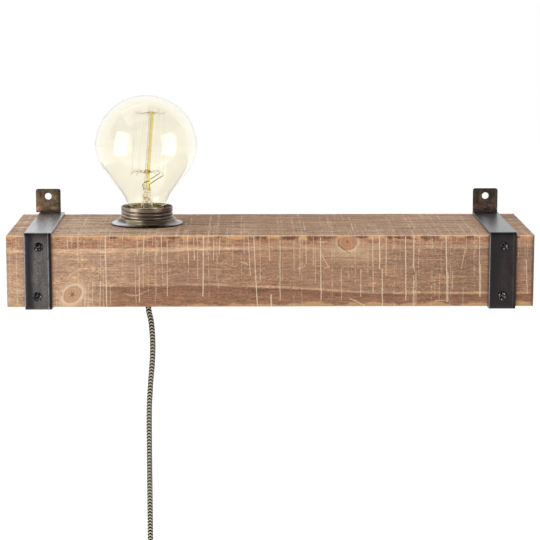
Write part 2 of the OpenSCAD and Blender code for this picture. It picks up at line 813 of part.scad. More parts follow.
// Place on the coil after a sweep in degrees, clockwise as seen from the front. The turns run in
// and out again, and climb a layer in the half turn where the spiral reverses.
function fold_back(t) = let (u = t % (2 * layer_turns)) min(u, 2 * layer_turns - u);
function climb(t, k) = let (u = min(1, max(0, (t - k * layer_turns + 0.25) / 0.5))) u * u * (3 - 2 * u);
function coil_point(sweep) = let (
    t = sweep / 360,
    r = coil_outer_r - coil_pitch * fold_back(t),
    layer = climb(t, 1) + climb(t, 2) + climb(t, 3),
    a = coil_entry - sweep
) coil_centre + [r * cos(a), coil_pitch * layer, r * sin(a)];

coil_path = concat(
    [lead_end], [for (sweep = [0 : coil_step : coil_sweep]) coil_point(sweep)], [coil_end]
);

// Least free space between a stretch of the coil and any other that isn't its neighbour
coil_gap = min([for (i = [0 : len(coil_path) - 1], j = [i + 10 : 1 : len(coil_path) - 1])
    norm(coil_path[i] - coil_path[j])]) - cord_d;
echo(least_coil_gap = coil_gap);  // cord_coil

module cord_drop() {
    color("darkkhaki") translate(exit_point) plain_tube(drop_path, [0, 1, 0], cord_r, 8);
}

module cord_lead() {
    color("darkkhaki") translate(exit_point) plain_tube(lead_path, [1, 0, 0], cord_r, 8);
}

module cord_coil() {
    color("darkkhaki") translate(exit_point) plain_tube(coil_path, [0, 1, 0], cord_r, 6);
}

module cord_tail() {
    color("darkkhaki") translate(exit_point) plain_tube(tail_path, [0, 1, 0], cord_r, 8);
}

// Flat band round the turns at the side away from the plug
module coil_tie() {
    gap = 0.5;
    t = 0.9;
    w = 8;
    inside = [
        coil_outer_r - coil_inner_r + coil_pitch + cord_d + 2 * gap,
        3 * coil_pitch + cord_d + 2 * gap
    ];
    middle = coil_centre + [-(coil_outer_r + coil_inner_r) / 2, 1.5 * coil_pitch, 0];
    color("black") translate(exit_point + middle) linear_extrude(w, center = true) difference() {
        round_rect(inside[0] + 2 * t, inside[1] + 2 * t, 2.5);
        round_rect(inside[0], inside[1], 1.6);
    }
}

// ---------------------------------------------------------------- hand switch

// One closed half of the switch on the -Y side of its parting plane, with its ends sloped
module shell_block() {
    slope = [4, 9];
    half = switch_l / 2;
    intersection() {
        rotate([90, 0, 0]) linear_extrude(shell_d) round_rect(switch_w, switch_l, 7);
        along_x(switch_w) polygon([
            [0, -half], [-shell_d + slope[0], -half], [-shell_d, -half + slope[1]],
            [-shell_d, half - slope[1]], [-shell_d + slope[0], half], [0, half]
        ]);
        linear_extrude(switch_l, center = true) polygon([
            [-switch_w / 2, 0], [-switch_w / 2, -shell_d + 1.5], [-switch_w / 2 + 1.5, -shell_d],
            [switch_w / 2 - 1.5, -shell_d], [switch_w / 2, -shell_d + 1.5], [switch_w / 2, 0]
        ]);
    }
}

// A hollow half with a way for the cord at both ends
module switch_shell() {
    difference() {
        shell_block();
        translate([0, cut, 0]) rotate([90, 0, 0]) linear_extrude(shell_d - switch_wall + cut)
            round_rect(switch_w - 2 * switch_wall - 1.5, switch_l - 2 * shell_end, 4);
        cylinder(h = switch_l + 2 * cut, r = cord_r + fit, center = true, $fn = fine);
    }
}

// Places its children at the two screws of the switch
module at_switch_screws() {
    for (z = [-1, 1]) translate([switch_screw_at[0], 0, z * switch_screw_at[1]]) children();
}

module switch_front_shell() {
    window = [rocker_w + 2 * run, 8, rocker_l + 2 * run];
    ear_front = -shell_d + 1;
    ear_back = pivot_y + 1.9;
    ear_x = rocker_w / 2 + run + pivot_l / 2;
    color("black") at_switch() {
        difference() {
            switch_shell();
            translate([0, -shell_d, 0]) cube(window, center = true);
            at_switch_screws() rod_y(switch_screw_r + fit / 2, switch_screw_tip - fit, cut);
        }
        for (x = [-1, 1]) difference() {
            translate([x * ear_x, (ear_front + ear_back) / 2, 0])
                cube([pivot_l, ear_back - ear_front, 5], center = true);
            translate([0, pivot_y, 0]) rotate([0, 90, 0])
                cylinder(h = 2 * switch_w, r = pivot_r + 0.06, center = true, $fn = fine);
        }
    }
}

module switch_back_shell() {
    color("black") at_switch() difference() {
        mirror([0, 1, 0]) switch_shell();
        at_switch_screws() {
            rod_y(switch_screw_r + fit, -cut, switch_t);
            rod_y(2.2, shell_d - 2.4, switch_t);
        }
    }
}

// Slotted screws that close the shells, with their heads sunk in the back
module switch_screws() {
    seat = shell_d - 2.4;
    head = 1.2;
    color("silver") at_switch() at_switch_screws() difference() {
        union() {
            rod_y(switch_screw_r, switch_screw_tip, seat);
            rod_y(1.9, seat, seat + head);
        }
        translate([-2, seat + head - 0.5, -0.25]) cube([4, cut, 0.5]);
    }
}

// Dished rocker on a pivot pin; its ends are arcs about the pivot, so they clear the shell
module switch_rocker() {
    half = rocker_l / 2;
    front = -shell_d - pivot_y;
    rise = half * sin(rocker_throw / 2);
    color("black") at_switch() translate([0, pivot_y, 0]) rotate([rocker_rest, 0, 0]) {
        along_x(rocker_w) intersection() {
            circle(half);
            polygon([
                [1, half], [2.2, 3], [2.2, -3], [1, -half], [front - rise, -half],
                [front + 0.4, 0], [front - rise, half]
            ]);
        }
        rotate([0, 90, 0])
            cylinder(h = rocker_w + 2 * (run + pivot_l), r = pivot_r, center = true, $fn = fine);
    }
}

// Brass terminals: a bridge joins the two of the through pole, leaves stand on the switched pole
module switch_contacts() {
    at = switch_block_at;
    reach = at[2] - switch_block[2] / 2;
    strip = [3, 1];
    leaf_l = reach - 3;
    color("gold") at_switch() translate([0, at[1], 0]) {
        for (x = [-1, 1], z = [-1, 1]) translate([x * at[0], 0, z * at[2]])
            cube(switch_block, center = true);
        translate([at[0], 1.2, 0]) cube([strip[0], strip[1], 2 * reach], center = true);
        for (z = [-1, 1]) translate([-at[0], 1.2, z * (reach - leaf_l / 2)])
            cube([strip[0], strip[1], leaf_l], center = true);
    }
}

// Sheath ends inside the switch, each with two cores up to the terminals
module switch_cord_ends() {
    core = 0.8;
    stop = switch_l / 2 - switch_sheath_l;
    face = switch_block_at[2] + switch_block[2] / 2;
    color("darkkhaki") at_switch() for (z = [-1, 1]) {
        translate([0, 0, z > 0 ? stop : -switch_l / 2]) cylinder(h = switch_sheath_l, r = cord_r, $fn = fine);
        for (x = [-1, 1]) plain_tube([
            [x * 0.9, 0, z * stop], [x * 0.9, 0, z * (stop - 0.7)],
            [x * 2.7, switch_block_at[1] / 2, z * (stop + face) / 2],
            [x * switch_block_at[0], switch_block_at[1], z * (face + 0.7)],
            [x * switch_block_at[0], switch_block_at[1], z * face]
        ], [0, 1, 0], core, 6);
    }
}

// ---------------------------------------------------------------- plug

module plug_body() {
    half = plug_w / 2;
    shoulder = 12;
    throat = 6.5;
    bevel = 4;
    rounding = 1;
    color("black") translate(exit_point + plug_face) difference() {
        intersection() {
            rotate([90, 0, 0]) linear_extrude(plug_t, center = true) polygon([
                [-half + rounding, 0], [half - rounding, 0], [half, rounding], [half, shoulder],
                [throat + 2, plug_l - 5], [throat, plug_l], [-throat, plug_l],
                [-throat - 2, plug_l - 5], [-half, shoulder], [-half, rounding]
            ]);
            linear_extrude(plug_l) polygon([
                [-half, 0], [-half + bevel, -plug_t / 2], [half - bevel, -plug_t / 2], [half, 0],
                [half - bevel, plug_t / 2], [-half + bevel, plug_t / 2]
            ]);
        }
        for (x = [-1, 1]) translate([x * pin_pitch / 2, 0, -cut])
            cylinder(h = pin_root + cut, r = pin_d / 2, $fn = fine);
    }
}

// Ribbed, tapering tail of the plug
module plug_relief() {
    ribs = 5;
    step = relief_l / ribs;
    color("black") translate(exit_point + plug_top) rotate_extrude($fn = fine) polygon(concat(
        [[0, 0]],
        [for (i = [0 : ribs - 1]) let (r = 5.4 - 0.45 * i, z = i * step)
            each [[r, z], [r, z + 0.62 * step], [r - 1, z + 0.74 * step], [r - 1, z + step]]],
        [[0, relief_l]]
    ));
}

// Metal pins: bare ends on thinner roots that run up through their sleeves
module plug_pins() {
    r = pin_d / 2;
    bare = pin_l - sleeve_l;
    top = pin_l + pin_root - 0.5;
    color("silver") translate(exit_point + plug_face) for (x = [-1, 1])
        translate([x * pin_pitch / 2, 0, -pin_l]) rotate_extrude($fn = fine) polygon([
            [0, 0], [r - 0.7, 0], [r - 0.2, 0.3], [r, 0.9], [r, bare],
            [r - 0.5, bare], [r - 0.5, top], [0, top]
        ]);
}

module plug_pin_sleeves() {
    h = sleeve_l + pin_root - 0.5;
    color("black") translate(exit_point + plug_face) for (x = [-1, 1])
        translate([x * pin_pitch / 2, 0, -sleeve_l]) difference() {
            cylinder(h = h, r = pin_d / 2 - 0.05, $fn = fine);
            translate([0, 0, -cut]) cylinder(h = h + 2 * cut, r = pin_d / 2 - 0.45, $fn = fine);
        }
}

// ---------------------------------------------------------------- assembly

beam();
strap(-1);  // strap_left
strap(1);  // strap_right
wall_tab(-1);  // wall_tab_left
wall_tab(1);  // wall_tab_right
weld_beads();
strap_screws();
lampholder_mantle();
shade_ring();
lampholder_cap();
lampholder_insert();
thread_sleeve();
centre_contact();
holder_terminals();
terminal_screws();
fixing_nipple();
nipple_washer();
nipple_nut();
cord_bush();
cord_inside();
cord_cores();
bulb_glass();
bulb_cap();
bulb_insulator();
bulb_contact();
bulb_stem();
bulb_rod();
bulb_supports_upper();
bulb_supports_lower();
bulb_filament();
bulb_lead_wires();
cord_drop();
switch_front_shell();
switch_back_shell();
switch_rocker();
switch_screws();
switch_contacts();
switch_cord_ends();
cord_lead();
cord_coil();
coil_tie();
cord_tail();
plug_body();
plug_relief();
plug_pins();
plug_pin_sleeves();
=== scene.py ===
"""Looks of a wall lamp with a shelf beam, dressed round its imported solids.

The classes hold their sizes in millimetres of the part's frame, and the meshes are in metres.
The wall is the plane y = 0, the lamp stands out along -Y, and +Z is up.
"""

import logging
import math
from dataclasses import dataclass, field
from enum import Enum
from typing import Callable, Iterable, Optional, Sequence, Union

import bmesh
import bpy
from mathutils import Matrix, Vector, noise


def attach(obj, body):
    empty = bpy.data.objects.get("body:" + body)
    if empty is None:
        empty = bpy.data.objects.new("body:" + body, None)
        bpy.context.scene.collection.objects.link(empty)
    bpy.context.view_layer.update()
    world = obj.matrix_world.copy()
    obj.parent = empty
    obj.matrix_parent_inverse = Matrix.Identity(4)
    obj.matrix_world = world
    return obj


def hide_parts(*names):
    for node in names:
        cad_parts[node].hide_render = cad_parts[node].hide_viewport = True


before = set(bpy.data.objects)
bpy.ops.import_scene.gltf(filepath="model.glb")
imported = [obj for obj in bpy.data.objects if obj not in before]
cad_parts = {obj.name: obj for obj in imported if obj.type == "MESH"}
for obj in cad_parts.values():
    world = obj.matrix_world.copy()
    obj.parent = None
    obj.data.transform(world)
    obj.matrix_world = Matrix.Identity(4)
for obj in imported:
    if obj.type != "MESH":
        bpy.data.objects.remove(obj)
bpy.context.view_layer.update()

MM = 0.001
BEAM_TOP = -15.0
BEAM_BOTTOM = -70.0
BEAM_FRONT = -116.0
LAMP_X = -95.0
LAMP_Y = -52.0
# Point on the lampholder's axis at the beam's top
SEAT = Vector((LAMP_X, LAMP_Y, BEAM_TOP))

Colour = tuple[float, float, float, float]
Feed = Union[float, Colour, tuple[float, float, float], "Value"]
Material = bpy.types.Material
Piece = bpy.types.Object
Outline = Sequence[tuple[float, float]]
log = logging.getLogger("wall_lamp")


class Body(Enum):
    """Rigid bodies of the lamp."""

    LAMP = "lamp"
    BULB = "bulb"
    BULB_TIP = "bulb_tip"
    ROCKER = "rocker"


def paint(red: float, green: float, blue: float) -> Colour:
    """Linear colour of an 8-bit screen colour.

    Args:
        red: Red, from 0 to 255.
        green: Green, from 0 to 255.
        blue: Blue, from 0 to 255.

    Returns:
        The colour with full opacity.
    """
    shares = (channel / 255 for channel in (red, green, blue))
    linear = [s / 12.92 if s <= 0.04045 else ((s + 0.055) / 1.055) ** 2.4 for s in shares]
    return (linear[0], linear[1], linear[2], 1.0)


def smooth(value: float, low: float, high: float) -> float:
    """Eased share of the way from low to high, from 0 to 1."""
    share = min(1.0, max(0.0, (value - low) / (high - low)))
    return share * share * (3 - 2 * share)


# ---------------------------------------------------------------- nodes


class Value:
    """What a node gives, with the signs of arithmetic for sums made of nodes."""

    def __init__(self, graph: "NodeGraph", socket: bpy.types.NodeSocket) -> None:
        """Hold an output, and the graph that it is in."""
        self.graph = graph
        self.socket = socket

    def __add__(self, other: Feed) -> "Value":
        """Sum with another."""
        return self.graph.math("ADD", self, other)

    def __sub__(self, other: Feed) -> "Value":
        """Difference from another."""
        return self.graph.math("SUBTRACT", self, other)

    def __rsub__(self, other: Feed) -> "Value":
        """Difference of a number from it."""
        return self.graph.math("SUBTRACT", other, self)

    def __mul__(self, other: Feed) -> "Value":
        """Product with another."""
        return self.graph.math("MULTIPLY", self, other)

    def __or__(self, other: Feed) -> "Value":
        """The larger of both, which joins two masks."""
        return self.graph.math("MAXIMUM", self, other)

    def __abs__(self) -> "Value":
        """Its size without its sign."""
        return self.graph.math("ABSOLUTE", self)

    def __truediv__(self, other: Feed) -> "Value":
        """Quotient by another."""
        return self.graph.math("DIVIDE", self, other)

    def __rtruediv__(self, other: Feed) -> "Value":
        """Quotient of a number by it."""
        return self.graph.math("DIVIDE", other, self)


class NodeGraph:
    """Builds the nodes of one material, world or shader group."""

    def __init__(self, tree: bpy.types.NodeTree) -> None:
        """Start from an empty tree."""
        self.tree = tree
        tree.nodes.clear()

    def feed(self, socket: bpy.types.NodeSocket, value: Feed) -> None:
        """Link a socket to a value's output, or set it to a number, vector or colour.

        Args:
            socket: The socket.
            value: The value.
        """
        if isinstance(value, Value):
            self.tree.links.new(value.socket, socket)
        else:
            socket.default_value = value

    def add(self, kind: str, inputs: Optional[dict] = None, **settings: object) -> bpy.types.Node:
        """Add a node.

        Args:
            kind: The node's type.
            inputs: What goes into its sockets, by name or number.
            settings: Its properties.

        Returns:
            The new node.
        """
        node = self.tree.nodes.new(kind)
        for name, value in settings.items():
            setattr(node, name, value)
        for key, value in (inputs or {}).items():
            self.feed(node.inputs[key], value)
        return node

    def outputs(self, kind: str, inputs: Optional[dict] = None, **settings: object) -> dict:
        """Add a node, and give its values by name and by number."""
        return self.values(self.add(kind, inputs, **settings))

    def values(self, node: bpy.types.Node) -> dict:
        """What a node gives, by name and by number."""
        made = [(output.name, Value(self, output)) for output in node.outputs]
        return {**dict(made), **{number: value for number, (_, value) in enumerate(made)}}

    def math(self, operation: str, a: Feed, b: Feed = 0.0, c: Feed = 0.0) -> Value:
        """Result of one sum on up to three values."""
        return self.outputs("ShaderNodeMath", {0: a, 1: b, 2: c}, operation=operation)[0]

    def linear(self, value: Feed, gain: Feed, start: Feed) -> Value:
        """Value times a gain, from a start, in one node."""
        return self.math("MULTIPLY_ADD", value, gain, start)

    def vector(self, operation: str, a: Feed, b: Feed = (0.0, 0.0, 0.0)) -> Value:
        """Result of one sum on up to two vectors: a number for a length or a dot product."""
        made = self.outputs("ShaderNodeVectorMath", {0: a, 1: b}, operation=operation)
        return made["Value" if operation in ("LENGTH", "DOT_PRODUCT") else "Vector"]

    def remap(self, value: Feed, low: float, high: float, start: Feed = 0.0, end: Feed = 1.0) -> Value:
        """Value eased from start at low to end at high.

        Args:
            value: The value.
            low: Value at the start.
            high: Value at the end.
            start: Result at low.
            end: Result at high.

        Returns:
            The eased value.
        """
        inputs = {"Value": value, "From Min": low, "From Max": high, "To Min": start, "To Max": end}
        if high < low:
            inputs.update({"From Min": high, "From Max": low, "To Min": end, "To Max": start})
        return self.outputs("ShaderNodeMapRange", inputs, interpolation_type="SMOOTHSTEP")[0]

    def band(self, value: Feed, low: float, high: float, soft: float) -> Value:
        """Mask that is 1 between low and high, with soft borders."""
        rise = self.remap(value, low - soft, low + soft)
        return rise * self.remap(value, high - soft, high + soft, 1.0, 0.0)

    def mix(self, share: Feed, a: Feed, b: Feed, blend: str = "MIX") -> Value:
        """Colour between two, by a share and a way of blending.

        Args:
            share: Share of the second.
            a: The first colour.
            b: The second colour.
            blend: How they blend.

        Returns:
            The colour.
        """
        node = self.add("ShaderNodeMix", data_type="RGBA", blend_type=blend)
        for number, value in ((0, share), (6, a), (7, b)):
            self.feed(node.inputs[number], value)
        return self.values(node)[2]

    def level(self, colour: Feed, gain: Feed) -> Value:
        """Colour with each channel multiplied by a value."""
        grey = self.outputs("ShaderNodeCombineColor", {0: gain, 1: gain, 2: gain})[0]
        return self.mix(1.0, colour, grey, "MULTIPLY")

    def noise(self, vector: Feed, size: float, detail: float = 2.0, rough: float = 0.5) -> Value:
        """Cloudy value around 0.5, with features of about that size."""
        inputs = {"Vector": vector, "Scale": 1 / size, "Detail": detail, "Roughness": rough}
        return self.outputs("ShaderNodeTexNoise", inputs)[0]

    def cloud(
        self, place: Feed, scale: Sequence[float], detail: float = 2.0, rough: float = 0.5,
        shift: float = 0.0,
    ) -> Value:
        """Cloudy value around 0.5, finer along an axis where its scale is larger."""
        return self.noise(self.stretch(place, scale, (shift, 0, 0)), 1.0, detail, rough)

    def stretch(self, vector: Feed, scale: Sequence[float], shift: Sequence[float] = (0, 0, 0)) -> Value:
        """Vector scaled along each axis, and shifted."""
        inputs = {"Vector": vector, "Scale": tuple(scale), "Location": tuple(shift)}
        return self.outputs("ShaderNodeMapping", inputs)[0]

    def split(self, vector: Feed) -> tuple[Value, Value, Value]:
        """The three parts of a vector."""
        parts = self.outputs("ShaderNodeSeparateXYZ", {0: vector})
        return parts[0], parts[1], parts[2]

    def join(self, x: Feed, y: Feed, z: Feed) -> Value:
        """A vector from its three parts."""
        return self.outputs("ShaderNodeCombineXYZ", {0: x, 1: y, 2: z})[0]

    def ramp(self, value: Feed, stops: Iterable[tuple[float, Colour]]) -> Value:
        """Colour along a row of stops.

        Args:
            value: The value.
            stops: Place and colour of each stop.

        Returns:
            The colour.
        """
        node = self.add("ShaderNodeValToRGB", {0: value})
        elements = node.color_ramp.elements
        for index, (place, colour) in enumerate(stops):
            element = elements[index] if index < 2 else elements.new(place)
            element.position, element.color = place, colour
        return self.values(node)[0]

    def place(self) -> Value:
        """Object coordinates in millimetres."""
        return self.stretch(self.outputs("ShaderNodeTexCoord")["Object"], (1 / MM,) * 3)

    def uv(self, name: str) -> Value:
        """A piece's own UV map."""
        return self.outputs("ShaderNodeUVMap", uv_map=name)[0]

    def use(self, group: bpy.types.NodeTree, **inputs: Feed) -> dict:
        """Place a shader group with its values, and give what it puts out by name.

        Args:
            group: The group.
            inputs: Its values, by name.

        Returns:
            What it puts out, by name.
        """
        node = self.add("ShaderNodeGroup", node_tree=group)
        for key, value in inputs.items():
            self.feed(node.inputs[key], value)
        return self.values(node)

    def bump(self, height: Value, depth: float, strength: float = 1.0) -> Value:
        """Normal of a surface with that height, in millimetres."""
        inputs = {"Height": height, "Distance": depth * MM, "Strength": strength}
        return self.outputs("ShaderNodeBump", inputs)[0]


def shader_group(name: str, outputs: Sequence[str], **inputs: str) -> tuple[NodeGraph, dict, bpy.types.Node]:
    """Start a shared effect.

    Args:
        name: Name of the group.
        outputs: Names of the values that it puts out.
        inputs: Socket type of each input.

    Returns:
        Its graph, the values that come in, and the node that takes what goes out.
    """
    tree = bpy.data.node_groups.new(name, "ShaderNodeTree")
    graph = NodeGraph(tree)
    for socket, kind in inputs.items():
        tree.interface.new_socket(socket, in_out="INPUT", socket_type="NodeSocket" + kind)
    for socket in outputs:
        tree.interface.new_socket(socket, in_out="OUTPUT", socket_type="NodeSocketFloat")
    return graph, graph.outputs("NodeGroupInput"), graph.add("NodeGroupOutput")


class Effects:
    """Shader groups that several finishes share, each built once."""

    def __init__(self) -> None:
        """Build the groups."""
        self.mottle = self._mottle()
        self.scratches = self._scratches()
        self.wear = self._wear()
        self.patch = self._patch()
        self.stroke = self._stroke()

    @staticmethod
    def _mottle() -> bpy.types.NodeTree:
        """Cloudy tone with a fine grain in it.

        Returns:
            The group.
        """
        graph, given, made = shader_group("mottle", ["Tone", "Grain"], Vector="Vector", Size="Float")
        scale = 1.0 / given["Size"]
        broad = {"Vector": given["Vector"], "Scale": scale, "Detail": 5.0}
        cloud = graph.outputs("ShaderNodeTexNoise", broad)[0]
        fine = {"Vector": given["Vector"], "Scale": scale * 7.0, "Detail": 3.0}
        grain = graph.outputs("ShaderNodeTexNoise", fine)[0]
        tone = graph.linear(grain, 0.35, cloud * 0.65)
        graph.feed(made.inputs["Tone"], graph.remap(tone, 0.33, 0.67))
        graph.feed(made.inputs["Grain"], grain)
        return graph.tree

    @staticmethod
    def _scratches() -> bpy.types.NodeTree:
        """Fine broken lines along the second axis of a vector.

        Returns:
            The group.
        """
        graph, given, made = shader_group(
            "scratches", ["Mask"], Vector="Vector", Spacing="Float", Width="Float"
        )
        across, along, _ = graph.split(given["Vector"])
        turn = across / given["Spacing"]
        cells = graph.outputs("ShaderNodeTexVoronoi", {"W": turn, "Scale": 1.0}, voronoi_dimensions="1D")
        gap = cells["Distance"] * given["Spacing"]
        line = (1.0 - gap / given["Width"]) | 0.0
        breaks = graph.noise(graph.join(cells["W"] * 7.31, along * 0.09, 0.0), 1.0, 2.0)
        graph.feed(made.inputs["Mask"], line * graph.remap(breaks, 0.44, 0.62))
        return graph.tree

    @staticmethod
    def _wear() -> bpy.types.NodeTree:
        """Broken mask near an edge, from the distance to it.

        Returns:
            The group.
        """
        graph, given, made = shader_group(
            "edge_wear", ["Mask"], Vector="Vector", Distance="Float", Width="Float"
        )
        near = 1.0 - given["Distance"] / given["Width"]
        rough = graph.noise(given["Vector"], 1.4, 4.0, 0.6)
        graph.feed(made.inputs["Mask"], graph.remap(graph.linear(rough - 0.5, 1.6, near), 0.15, 0.6))
        return graph.tree

    @staticmethod
    def _patch() -> bpy.types.NodeTree:
        """Oval mask about a centre.

        Returns:
            The group.
        """
        graph, given, made = shader_group(
            "patch", ["Mask"], Vector="Vector", Centre="Vector", Size="Vector", Soft="Float"
        )
        away = graph.vector("SUBTRACT", given["Vector"], given["Centre"])
        share = graph.vector("LENGTH", graph.vector("DIVIDE", away, given["Size"]))
        graph.feed(made.inputs["Mask"], graph.remap((1.0 - share) / given["Soft"], -1.0, 1.0))
        return graph.tree

    @staticmethod
    def _stroke() -> bpy.types.NodeTree:
        """Mask of a straight line between two places, with soft borders.

        Returns:
            The group.
        """
        graph, given, made = shader_group(
            "stroke", ["Mask"], Vector="Vector", Start="Vector", End="Vector", Width="Float"
        )
        away = graph.vector("SUBTRACT", given["Vector"], given["Start"])
        run = graph.vector("SUBTRACT", given["End"], given["Start"])
        share = graph.vector("DOT_PRODUCT", away, run) / graph.vector("DOT_PRODUCT", run, run)
        share = graph.math("MINIMUM", share | 0.0, 1.0)
        foot = graph.vector("MULTIPLY", run, graph.join(share, share, share))
        near = graph.vector("LENGTH", graph.vector("SUBTRACT", away, foot))
        graph.feed(made.inputs["Mask"], graph.remap(near / given["Width"], 1.0, 0.25))
        return graph.tree


class Surface:
    """One material in the making, with its own shader."""

    def __init__(self, name: str) -> None:
        """Start a material with a plain shader.

        Args:
            name: Its name.
        """
        self.material = bpy.data.materials.new(name)
        self.material.use_nodes = True
        self.graph = NodeGraph(self.material.node_tree)
        self.shader = self.graph.add("ShaderNodeBsdfPrincipled")
        self.output = self.graph.add("ShaderNodeOutputMaterial")
        self.show(self.graph.values(self.shader)[0])

    def show(self, shader: Value) -> None:
        """Let the surface look as a shader says."""
        self.graph.feed(self.output.inputs["Surface"], shader)

    def set(self, **values: Feed) -> None:
        """Feed the shader's sockets, with _ for a space in their names."""
        for name, value in values.items():
            self.graph.feed(self.shader.inputs[name.replace("_", " ")], value)


# ---------------------------------------------------------------- finishes


@dataclass(frozen=True)
class MetalFinish:
    """A metal with a cloudy tone, fine scratches and a soft sheen, and pale spots where given, which on the
    screws are painted glints.
    """

    name: str
    colour: Colour
    dark: Colour
    roughness: float = 0.35
    spread: float = 0.12
    cloud: float = 6.0
    scratch: float = 0.25
    metallic: float = 1.0
    dents: float = 0.03
    specks: Optional[Colour] = None

    def build(self, effects: Effects) -> Material:
        """Make the material from the shared effects.

        Args:
            effects: The shared effects.

        Returns:
            The material.
        """
        surface = Surface(self.name)
        graph = surface.graph
        place = graph.place()
        mottle = graph.use(effects.mottle, Vector=place, Size=self.cloud)
        lines = graph.use(effects.scratches, Vector=place, Spacing=1.1, Width=0.05)
        tone = graph.mix(mottle["Tone"], self.dark, self.colour)
        # Pale spots: on the screw heads they are painted glints
        if self.specks:
            tone = graph.mix(graph.remap(graph.noise(place, 1.2, 2.0), 0.56, 0.63), tone, self.specks)
        bright = lines["Mask"] * self.scratch
        low, high = self.roughness - self.spread, self.roughness + self.spread
        surface.set(
            Base_Color=graph.mix(bright, tone, self.colour),
            Metallic=self.metallic,
            Roughness=graph.remap(mottle["Grain"], 0.3, 0.7, low, high),
            Normal=graph.bump(mottle["Grain"], self.dents, 0.6),
        )
        return surface.material


@dataclass(frozen=True)
class GunmetalFinish:
    """Plated steel whose tone changes across the lampholder, from its left to its right, as painted light,
    with a painted highlight on the hub and a painted shade line at the rolled rim.
    """

    name: str
    tones: tuple[tuple[float, Colour], ...]
    roughness: float = 0.24
    hub: Colour = field(default_factory=lambda: paint(104, 91, 79))
    # Colour of the painted highlight on the left of the hub
    glow: Colour = field(default_factory=lambda: paint(216, 201, 174))
    # Colour of the painted shade line at the rolled rim
    rim: Colour = field(default_factory=lambda: paint(40, 37, 38))
    flare_from: float = 0.0
    rim_from: float = 99.0

    def build(self, effects: Effects) -> Material:
        """Make the material from the shared effects.

        Args:
            effects: The shared effects.

        Returns:
            The material.
        """
        surface = Surface(self.name)
        graph = surface.graph
        place = graph.place()
        x, y, _ = graph.split(place)
        from_axis = graph.join(x - LAMP_X, y - LAMP_Y, 0.0)
        radius = graph.vector("LENGTH", from_axis)
        mottle = graph.use(effects.mottle, Vector=place, Size=16.0)
        sway = graph.linear(mottle["Tone"] - 0.5, 3.0, x)
        share = (sway + (30.0 - LAMP_X)) / 60.0
        # Painted light: the tone follows X, lit on the left and shaded to the right
        tone = graph.ramp(share, [((at + 30.0) / 60.0, colour) for at, colour in self.tones])
        # Where the hub gets its painted highlight
        lit = graph.band(sway, LAMP_X - 15.0, LAMP_X - 3.0, 2.5)
        hub = graph.mix(lit, self.hub, self.glow)
        tone = graph.mix(graph.remap(radius, self.flare_from - 1.4, self.flare_from), hub, tone)
        # Painted shade line at the rolled rim
        tone = graph.mix(graph.remap(radius, self.rim_from - 0.3, self.rim_from + 0.1), tone, self.rim)
        tone = graph.level(tone, graph.remap(mottle["Grain"], 0.3, 0.7, 0.97, 1.03))
        rough = graph.remap(mottle["Grain"], 0.3, 0.7, self.roughness - 0.02, self.roughness + 0.02)
        surface.set(
            Base_Color=tone, Metallic=1.0, Roughness=rough, Normal=graph.bump(mottle["Grain"], 0.005, 0.5),
        )
        return surface.material


@dataclass(frozen=True)
class MouldedFinish:
    """A moulded or fired material with a fine skin."""

    name: str
    colour: Colour
    worn: Colour
    roughness: float = 0.4
    skin: float = 0.5
    coat: float = 0.0

    def build(self, effects: Effects) -> Material:
        """Make the material from the shared effects.

        Args:
            effects: The shared effects.

        Returns:
            The material.
        """
        surface = Surface(self.name)
        graph = surface.graph
        place = graph.place()
        fine = graph.use(effects.mottle, Vector=place, Size=self.skin * 4)
        broad = graph.use(effects.mottle, Vector=place, Size=14.0)
        surface.set(
            Base_Color=graph.mix(broad["Tone"] * 0.6, self.colour, self.worn),
            Roughness=graph.remap(broad["Tone"], 0.0, 1.0, self.roughness - 0.06, self.roughness + 0.08),
            Coat_Weight=self.coat,
            Normal=graph.bump(fine["Grain"], 0.02, 0.5),
        )
        return surface.material


@dataclass(frozen=True)
class GlassFinish:
    """Clear glass with a faint tint and slight waves, and where asked a painted reflection that pales it
    towards white at a slant.
    """

    name: str
    tint: Colour
    roughness: float = 0.0
    wave: float = 0.01
    refraction: float = 1.45
    stain: Optional[Colour] = None
    clear_rim: bool = False

    def build(self, effects: Effects) -> Material:
        """Make the material from the shared effects.

        Args:
            effects: The shared effects.

        Returns:
            The material.
        """
        surface = Surface(self.name)
        graph = surface.graph
        place = graph.place()
        waves = graph.use(effects.mottle, Vector=place, Size=40.0)
        tint = graph.mix(waves["Tone"], self.tint, graph.level(self.tint, 0.97))
        if self.stain:
            tint = graph.mix(graph.remap(graph.noise(place, 2.0, 3.0), 0.5, 0.6, 0.0, 0.8), tint, self.stain)
        if self.clear_rim:
            # Painted reflection: the glass pales to white where it is seen at a slant
            slant = graph.outputs("ShaderNodeLayerWeight", {"Blend": 0.5})["Facing"]
            tint = graph.mix(graph.remap(slant, 0.46, 0.62), tint, paint(255, 255, 253))
        surface.set(
            Base_Color=tint,
            Roughness=self.roughness,
            IOR=self.refraction,
            Normal=graph.bump(graph.noise(place, 25.0, 1.0), self.wave, 0.3),
            Transmission_Weight=1.0,
        )
        return surface.material


@dataclass(frozen=True)
class RodFinish:
    """Soft glass of a leaning rod, honey on its right, with a painted highlight that makes its left side pale
    and a painted shade line between them.
    """

    name: str
    pale: Colour
    honey: Colour
    foot: tuple[float, float]
    lean: float

    def build(self) -> Material:
        """Make the material.

        Returns:
            The material.
        """
        surface = Surface(self.name)
        graph = surface.graph
        place = graph.place()
        x, _, z = graph.split(place)
        rise = z - self.foot[1]
        side = x - self.foot[0] - rise * self.lean
        # Painted highlight: the left side pale, the right side honey
        tint = graph.mix(graph.remap(side, -0.1, 0.3), self.pale, self.honey)
        tint = graph.level(tint, graph.remap(graph.noise(place, 6.0, 2.0), 0.3, 0.7, 0.94, 1.03))
        # Painted shade line along the rod between its pale and honey sides
        tint = graph.mix(graph.band(side, -0.2, 0.1, 0.1) * 0.6, tint, paint(140, 128, 124))
        surface.set(Base_Color=tint, Roughness=0.08, IOR=1.1, Transmission_Weight=1.0)
        return surface.material


